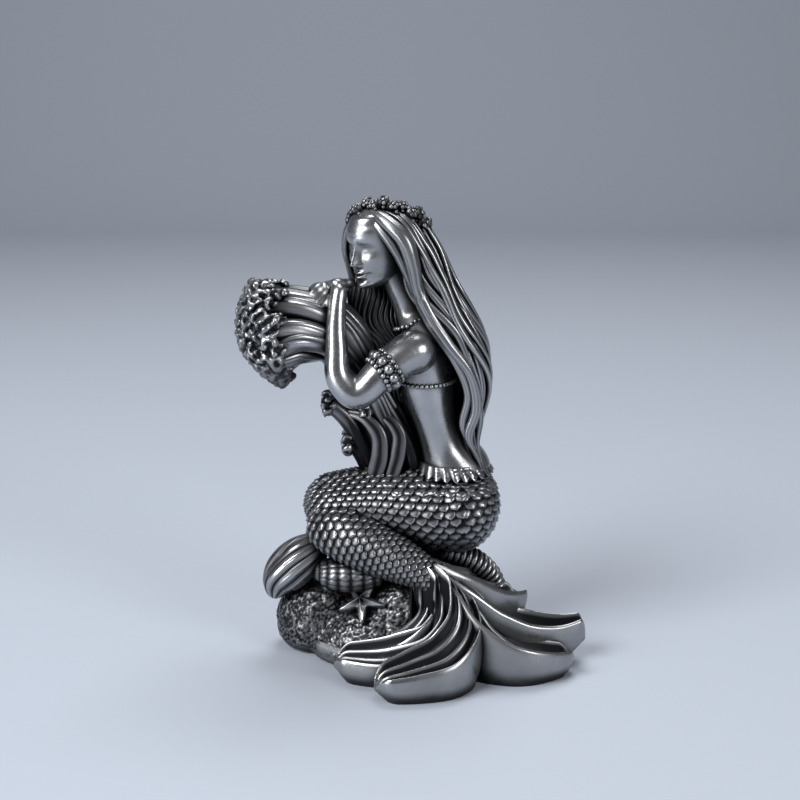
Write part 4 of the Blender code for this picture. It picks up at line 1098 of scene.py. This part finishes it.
def petal_rings(points, ribs, tilt, steps):
    """Sections of one petal: sharp ribs over wide hollows, smooth lips, bulging walls and a blunt tip."""
    toward_tip = 1 - (1 - np.linspace(0, 1, steps)) ** 1.5
    samples = np.unique(np.round(toward_tip * (9 * steps - 1)).astype(int))
    path = smooth_curve(points, 9 * steps)[samples]
    tangent = unit_rows(np.gradient(path[:, :2], axis=0))
    side = np.stack([-tangent[:, 1], tangent[:, 0]], axis=1)
    run = run_along(path)
    to_tip = np.clip((run[-1] - run) / path[-1, 3], 0.004, 1)
    dome = np.sqrt(1 - (1 - to_tip) ** 2)
    u = np.linspace(-1, 1, PETAL_COLUMNS)
    w = np.linspace(0, 1, WALL_ROWS + 1)[1:]
    turn = pi * ribs * (u + 1) / 2
    inside = smoothstep(1.0, 0.9, np.abs(u))
    valley = 1 - np.abs(np.cos(turn)) ** 1.8
    fine = valley * (1 - np.abs(np.cos(turn * 3)) ** 2)
    rings, tone = [], []
    for place, along, across, v, end in zip(path, tangent, side, run / run[-1], dome):
        shown = min(1.0, 4 * v + 0.3) * np.clip((end - 0.6) / 0.4, 0, 1)
        lip = LIP_HEIGHT * np.exp(-(((np.abs(u) - 0.95) / 0.08) ** 2)) * end
        sunk = (RIB_DEPTH * valley - FINE_RIB_DEPTH * fine) * shown
        lean = tilt * u * np.interp(v, (0, 0.15, 0.6, 1), (0.2, 1, 1, 0.15))
        height = (place[2] + place[4] * u**2 * end + lip - sunk - lean) * (0.45 + 0.55 * end)
        half = place[3] * end
        pull = TIP_OVERHANG * place[2] * np.clip((v - 0.75) / 0.25, 0, 1) * w
        bulge = PETAL_BULGE * end * np.sin(pi * np.clip(w * 1.15, 0, 1)) ** 0.5
        wall_r = half + bulge - PETAL_UNDERCUT * end * w**3
        wall_z = np.outer((height[-1], height[0]), 1 - w)
        top = np.column_stack([place[:2] + np.outer(u * half, across), height])
        back = np.outer(pull, along)
        right = np.column_stack([place[:2] + np.outer(wall_r, across) - back, wall_z[0]])
        left = np.column_stack([place[:2] - np.outer(wall_r, across) - back, wall_z[1]])
        rings.append(np.concatenate([top, right, left[::-1]]))
        wall_tone = 0.12 + 0.5 * w**4
        hollow = (np.clip(valley * 4.0 - 0.3, 0, 1) - 0.15 * fine) * shown + 0.1 * inside * shown
        # On the tilted fan petals the far wall, which lies under the next petal, is darkened: patina in the
        # hollow and painted shade under the petal above.
        far_tone = wall_tone[::-1] + (0.9 if tilt else 0.0)
        tone.append(np.concatenate([np.clip(hollow, 0, 1), wall_tone, np.clip(far_tone, 0, 1)]))
    return rings, tone


def build_fluke():
    """The petals of the tail fin."""
    fluke = Shape()
    fan = [(petal, RIBS_PER_FAN_PETAL, FAN_TILT) for petal in FAN]
    for petal, ribs, tilt in fan + [(petal, RIBS_PER_PETAL, 0.0) for petal in PETALS]:
        rings, tone = petal_rings(petal, ribs, tilt, 84)
        fluke.add_rings(rings, np.array(tone))
    fluke.piece("fluke")


def build_comb():
    """The toothed ridge behind the fin."""
    comb = Shape()
    count = COMB_TEETH * 12
    path = smooth_curve(COMB, count)
    side, normal = frames_along(path[:, :3], UP)
    tooth = np.abs(np.cos(pi * COMB_TEETH * np.linspace(0, 1, count)))
    ends = np.interp(np.arange(count), (0, 3, count - 4, count - 1), (0.3, 1, 1, 0.3))
    radius = (path[:, 3] * (1 - COMB_DEPTH + 2 * COMB_DEPTH * tooth) * ends)[:, None]
    rings = swept_rings(path[:, :3], side, normal, circle(32), radius, radius)
    comb.add_rings(rings, np.clip(1.5 - 1.7 * tooth, 0, 1)[:, None] + np.zeros(32))
    comb.piece("comb")

# The base

GRAIN_TABLE = DICE.random((32, 32, 32, 4))


def grains(points, cell):
    """Height, 0 to 1, of a bed of close grains at each point."""
    at = points / cell
    low = np.floor(at).astype(int)
    best = np.zeros(len(points))
    for dx in (-1, 0, 1):
        for dy in (-1, 0, 1):
            for dz in (-1, 0, 1):
                index = low + (dx, dy, dz)
                table = GRAIN_TABLE[index[:, 0] % 32, index[:, 1] % 32, index[:, 2] % 32]
                gap = at - index - table[:, :3]
                size = 0.55 + 0.25 * table[:, 3]
                height = np.sqrt(np.clip(size**2 - (gap**2).sum(1), 0, None)) / 0.8
                best = np.maximum(best, height)
    return best


def build_sand():
    """Granular sand over the rocks."""
    clay = Shape()
    for centre, radii in ROCKS:
        add_ball(clay, centre, radii, level=4)
    clay.points = [np.column_stack([p[:, :2], np.maximum(p[:, 2], 0.6)]) for p in clay.points]
    points, normals, faces = fused("rock", clay, voxel=0.44, soften=4)
    height = grains(points, GRAIN_CELL)
    lump = grains(points + 7.3, LUMP_CELL)
    upward = smoothstep(1.2, 3.5, points[:, 2])
    points = points + normals * ((GRAIN_HEIGHT * height + 0.5 * (lump - 0.5)) * upward)[:, None]
    points[:, 2] = np.maximum(points[:, 2], 0.0)
    sand = Shape()
    sand.add(points, faces, np.clip(1.35 - 1.2 * height, 0, 1) * (0.5 + 0.5 * upward))
    sand.piece("sand")


def add_starfish(things):
    up = unit(STARFISH_UP)
    flat_0 = unit(np.cross(up, (1.0, 0.0, 0.0)))
    flat_90 = np.cross(up, flat_0)
    angles = circle(150)
    fold = np.abs(((angles * STARFISH_ARMS / (2 * pi)) % 1) - 0.5) * 2
    outline = STARFISH_REACH * (0.34 + 0.66 * fold**2.0)
    rings = []
    for v in np.linspace(1.0, 0.02, 24):
        radius = outline * v
        rise = STARFISH_HEIGHT * (1 - v) ** 0.55 + 0.5 * np.sqrt(1 - v) * fold
        rise = rise * np.interp(radius, (0, STARFISH_REACH), (1.25, 0.55)) * (0.45 + 0.55 * fold**1.5)
        ring = np.array(STARFISH_CENTRE) + up * (rise[:, None] + 0.3)
        ring = ring - (radius * np.cos(angles))[:, None] * flat_0
        rings.append(ring + (radius * np.sin(angles))[:, None] * flat_90)
    things.add_rings([rings[0] - up * 2.0] + rings)


def add_scallop(things):
    """A rounded shell with ridged bands round it and fine lines across them."""
    phi = np.linspace(0.02, pi - 0.02, 90)[:, None]
    theta = circle(120)[None, :]
    level = np.cos(phi)
    ahead = np.sin(phi) * np.cos(theta)
    aside = np.sin(phi) * np.sin(theta)
    ridge = np.abs(np.sin(np.arcsin(np.clip(ahead, -1, 1)) * SCALLOP_BANDS)) ** 0.7
    line = 1 - np.abs(np.sin(np.arctan2(level, aside) * SCALLOP_LINES)) ** 0.35
    radius = 1 + 0.06 * ridge - 0.05 * line
    shell = np.stack([radius * ahead, radius * aside, radius * level], axis=-1)
    shell = np.array(SCALLOP_CENTRE) + shell * SCALLOP_RADII
    things.add_rings(shell, np.clip(1.2 - ridge + 0.6 * line, 0.1, 1))


def add_conch(things):
    """A long shell with ribs from end to end and a dark mouth."""
    path = smooth_curve(CONCH, 70)
    side, normal = frames_along(path[:, :3], (0.2, 1.0, 0.0))
    angles = circle(176)
    v = np.linspace(0, 1, len(path))
    swell = np.sqrt(np.clip(1 - np.abs(2 * v - 1) ** 4, 0.004, 1))[:, None]
    wave = np.abs(np.cos(angles * CONCH_LINES / 2))
    fine = np.abs(np.sin(angles * CONCH_LINES * 2))
    mouth = np.outer(np.exp(-(((v - 0.66) / 0.24) ** 2)), np.exp(-(((angles - 4.3) / 0.36) ** 2)))
    lines = CONCH_LINE_RADIUS * wave**0.8 + 0.1 * fine
    radius = swell * (path[:, 3:4] * (1 - 0.5 * mouth) + lines * (1 - mouth))
    rings = swept_rings(path[:, :3], side, normal, angles, radius, radius)
    things.add_rings(rings, np.clip(0.95 - 1.3 * wave + 0.2 * (1 - fine) + mouth * 1.8, 0, 1))


def build_shells():
    """What lies on the rock."""
    things = Shape()
    add_starfish(things)
    add_scallop(things)
    add_conch(things)
    things.piece("shells_and_starfish")


# The coral

def add_tube(shape, path, sides=24, grooves=7):
    """A grooved coral tube through the points of a path."""
    side, normal = frames_along(path[:, :3], BUNDLE_ACROSS)
    angles = circle(sides)
    factor, deep = outward_groove(angles, grooves, 0.14)
    radius = path[:, 3:4] * factor
    rings = swept_rings(path[:, :3], side, normal, angles, radius, radius)
    # Darker below the forearm's height: painted shade under the arm, added to the patina in the grooves.
    low = 0.8 * smoothstep(76.0, 60.0, path[:, 2:3])
    shape.add_rings(rings, low + deep * 0.8 + np.zeros((len(path), sides)))


CURL_WAVES = unit_rows(DICE.standard_normal((CURL_COUNT, 3))) * (2 * pi / CURL_PITCH)
CURL_STARTS = DICE.random(CURL_COUNT) * 2 * pi


def curls(points):
    """Height, 0 to 1, of a maze of worm-like ridges at each point."""
    field = np.sin(points @ CURL_WAVES.T + CURL_STARTS).sum(axis=1) / np.sqrt(CURL_COUNT / 2)
    return smoothstep(-0.45, 0.35, field)


def build_tubes():
    """The bundle's tubes with slim side tubes between them, the short stubs and the leaves."""
    coral = Shape()
    steps = 30
    path = smooth_curve(BOUQUET, steps)
    side, normal = frames_along(path[:, :3], BUNDLE_ACROSS)
    ahead = unit_rows(np.gradient(path[:, :3], axis=0))
    q = np.linspace(0, 1, steps)
    core = [(*p[:3], p[3] * 0.6, p[3] * 0.6) for p in BOUQUET]
    add_limb(coral, core, BUNDLE_ACROSS, tarnish=1.0)
    fine = 60
    for count, share in ((OUTER_TUBES, 0.78), (INNER_TUBES, 0.38)):
        for i in range(count):
            angle = 2 * pi * i / count + 0.16 * np.sin(2 * pi * (1.7 * q + 0.37 * i))
            offset = np.cos(angle)[:, None] * side + np.sin(angle)[:, None] * normal
            reach = path[:, 3:4] * share + TUBE_WANDER * np.sin(2 * pi * (1.3 * q + 0.23 * i))[:, None]
            radius = TUBE_RADIUS * np.interp(q, (0, 0.7, 1), (1.0, 1.1, 1.5))
            tube = np.column_stack([path[:, :3] + offset * reach, radius])
            add_tube(coral, smooth_curve(tube, fine))
            if count == OUTER_TUBES:
                tube[:, :3] += offset * 1.5 + np.cross(ahead, offset) * 1.6
                tube[:, 3] *= SIDE_TUBE_SHARE
                add_tube(coral, smooth_curve(tube[14 + 3 * (i % 3):], fine), grooves=4, sides=16)
    for stub in STUBS:
        add_tube(coral, smooth_curve(stub, 40))
    for blade in BLADES:
        line = smooth_curve(blade, 50)
        out = (-0.3, -1.0, 0.2)
        add_lock(coral, line[:, :3], line[:, 3], out, flat=0.55, grooves=3, sides=24, depth=0.4, tone=0.4)
    coral.piece("coral_tubes")


def build_polyps():
    """The curled polyps at the mouths of the bundle and of the stubs."""
    ends = Shape()
    path = smooth_curve(BOUQUET, 30)
    sides, normals = frames_along(path[:, :3], BUNDLE_ACROSS)
    side, normal = sides[-1], normals[-1]
    mouth, reach = path[-1, :3], path[-1, 3]
    along = unit(path[-1, :3] - path[-2, :3])
    for i in range(POLYP_COUNT):
        share = np.sqrt((i + 0.5) / POLYP_COUNT)
        angle = i * pi * (3 - 5**0.5)
        dome = along * reach * (0.55 * (1 - share**2) - 0.05)
        place = mouth + reach * 1.12 * share * (cos(angle) * side + sin(angle) * normal) + dome
        add_ball(ends, place, POLYP_RADIUS * 1.1)
    for i in range(RIM_COUNT):
        angle = 2 * pi * i / RIM_COUNT
        radial = cos(angle) * side + sin(angle) * normal
        back = RIM_REACH * (0.35 + 0.65 * max(radial[2], 0.0)) * (i % 3) / 2
        for step in np.linspace(0, 1, 4):
            place = mouth + radial * (reach * RIM_SPREAD - 0.22 * back * step) - along * (back * step + 1.0)
            add_ball(ends, place, POLYP_RADIUS * (1.1 - 0.35 * step))
    for stub in STUBS:
        end = np.array(stub[-1][:3])
        add_ball(ends, end, STUB_CAP_RADIUS)
        for angle in circle(STUB_POLYPS):
            place = end + (-0.6, STUB_REACH * cos(angle), STUB_REACH * sin(angle))
            add_ball(ends, place, STUB_POLYP_RADIUS)
    points, outward, faces = fused("ends", ends, voxel=0.3, soften=3)
    calm = 0.75 * smoothstep(mouth[2] - 2.0, mouth[2] - 9.0, points[:, 2]) * (points[:, 0] < mouth[0] + 12)
    height = curls(points) * (1 - calm) + 0.6 * calm
    polyps = Shape()
    polyps.add(points + outward * (height - 0.75)[:, None], faces, np.clip(1.5 - 1.5 * height, 0.1, 1))
    polyps.piece("coral_polyps")


# Jewellery

def beads_along(shape, points):
    fine = smooth_curve(points, 300)
    run = run_along(fine)
    for distance in np.linspace(0, run[-1], max(2, round(run[-1] / BEAD_PITCH))):
        add_ball(shape, point_at(run, fine, distance), BEAD_RADIUS)


def on_torso(height, angle, clear):
    """A point off the torso's skin, at an angle from the middle of the chest."""
    chest, left = torso_axes()
    centre, depth, width = torso_at(height)
    return centre + chest * (depth + clear) * cos(angle) + left * (width + clear) * sin(angle)


def build_jewellery():
    """The strap, the necklace, the hanging strings and the armband."""
    beads = Shape()
    turns = np.linspace(0, 2 * pi, 49)
    for height, drop, clear in ((STRAP_HEIGHT, 0.0, 0.2), (NECKLACE_HEIGHT, 4.0, 1.3)):
        beads_along(beads, [on_torso(height - drop * (1 + cos(a)) / 2, a, clear) for a in turns])
    for turn, length in DROPS:
        levels = np.linspace(STRAP_HEIGHT, STRAP_HEIGHT - length, 8)
        beads_along(beads, [on_torso(height, -radians(turn), 1.0) for height in levels])
    arm = smooth_curve(NEAR_ARM, 200)
    at = int(np.argmin(np.linalg.norm(arm[:, :3] - np.array(ARMBAND_CENTRE), axis=1)))
    along = unit(arm[at + 1, :3] - arm[at, :3])
    side = unit(np.cross(along, UP))
    normal = np.cross(along, side)
    reach = arm[at, 3] + 0.15
    for shift, size, count in ARMBAND_ROWS:
        for angle in circle(count):
            place = arm[at, :3] + along * shift + reach * (cos(angle) * side + sin(angle) * normal)
            add_ball(beads, place, size)
    beads.piece("beads")


build_skin()
build_head()
build_hair()
build_wreath()
build_tail()
build_frill()
build_fluke()
build_comb()
build_sand()
build_shells()
build_tubes()
build_polyps()
build_jewellery()


# Stage, light and camera

def build_stage():
    """A floor that sweeps up into a backdrop."""
    side, front, back, curve, top = 2.4, -1.6, 0.9, 0.5, 2.2
    sweep = [(back + curve * sin(a), curve - curve * cos(a)) for a in np.linspace(0, pi / 2, 24)]
    profile = [(front, 0.0), (back, 0.0), *sweep, (back + curve, top)]
    points = [(x, y, z) for y, z in profile for x in (-side, side)]
    faces = [(2 * i, 2 * i + 1, 2 * i + 3, 2 * i + 2) for i in range(len(profile) - 1)]
    mesh = bpy.data.meshes.new("floor")
    mesh.from_pydata(points, [], faces)
    mesh.polygons.foreach_set("use_smooth", np.ones(len(mesh.polygons), bool))
    material = bpy.data.materials.new("floor")
    material.use_nodes = True
    shader = material.node_tree.nodes["Principled BSDF"]
    shader.inputs["Base Color"].default_value = FLOOR_COLOUR
    shader.inputs["Roughness"].default_value = 0.6
    mesh.materials.append(material)
    floor = bpy.data.objects.new("floor", mesh)
    bpy.context.scene.collection.objects.link(floor)


def area_light(name, place, size, power):
    data = bpy.data.lights.new(name, "AREA")
    data.shape = "RECTANGLE"
    data.size, data.size_y = size
    data.energy = power
    lamp = bpy.data.objects.new(name, data)
    lamp.location = place
    aim = Vector((0, 0, 0.06)) - Vector(place)
    lamp.rotation_euler = aim.to_track_quat("-Z", "Y").to_euler()
    bpy.context.scene.collection.objects.link(lamp)


def build_light():
    world = bpy.data.worlds.new("studio")
    bpy.context.scene.world = world
    world.use_nodes = True
    background = world.node_tree.nodes["Background"]
    background.inputs["Color"].default_value = (0.92, 0.95, 1.0, 1.0)
    background.inputs["Strength"].default_value = 0.12
    for lamp in LAMPS:
        area_light(*lamp)


def build_camera():
    data = bpy.data.cameras.new("camera")
    data.sensor_width = 36.0
    data.lens = CAMERA_LENS
    camera = bpy.data.objects.new("camera", data)
    camera.location = (np.array(CAMERA_PLACE) + SHIFT) * MM
    camera.rotation_euler = (radians(90.0 - CAMERA_PITCH), 0.0, 0.0)
    bpy.context.scene.collection.objects.link(camera)
    bpy.context.scene.camera = camera


build_stage()
build_light()
build_camera()
bpy.context.scene.view_settings.view_transform = "Standard"
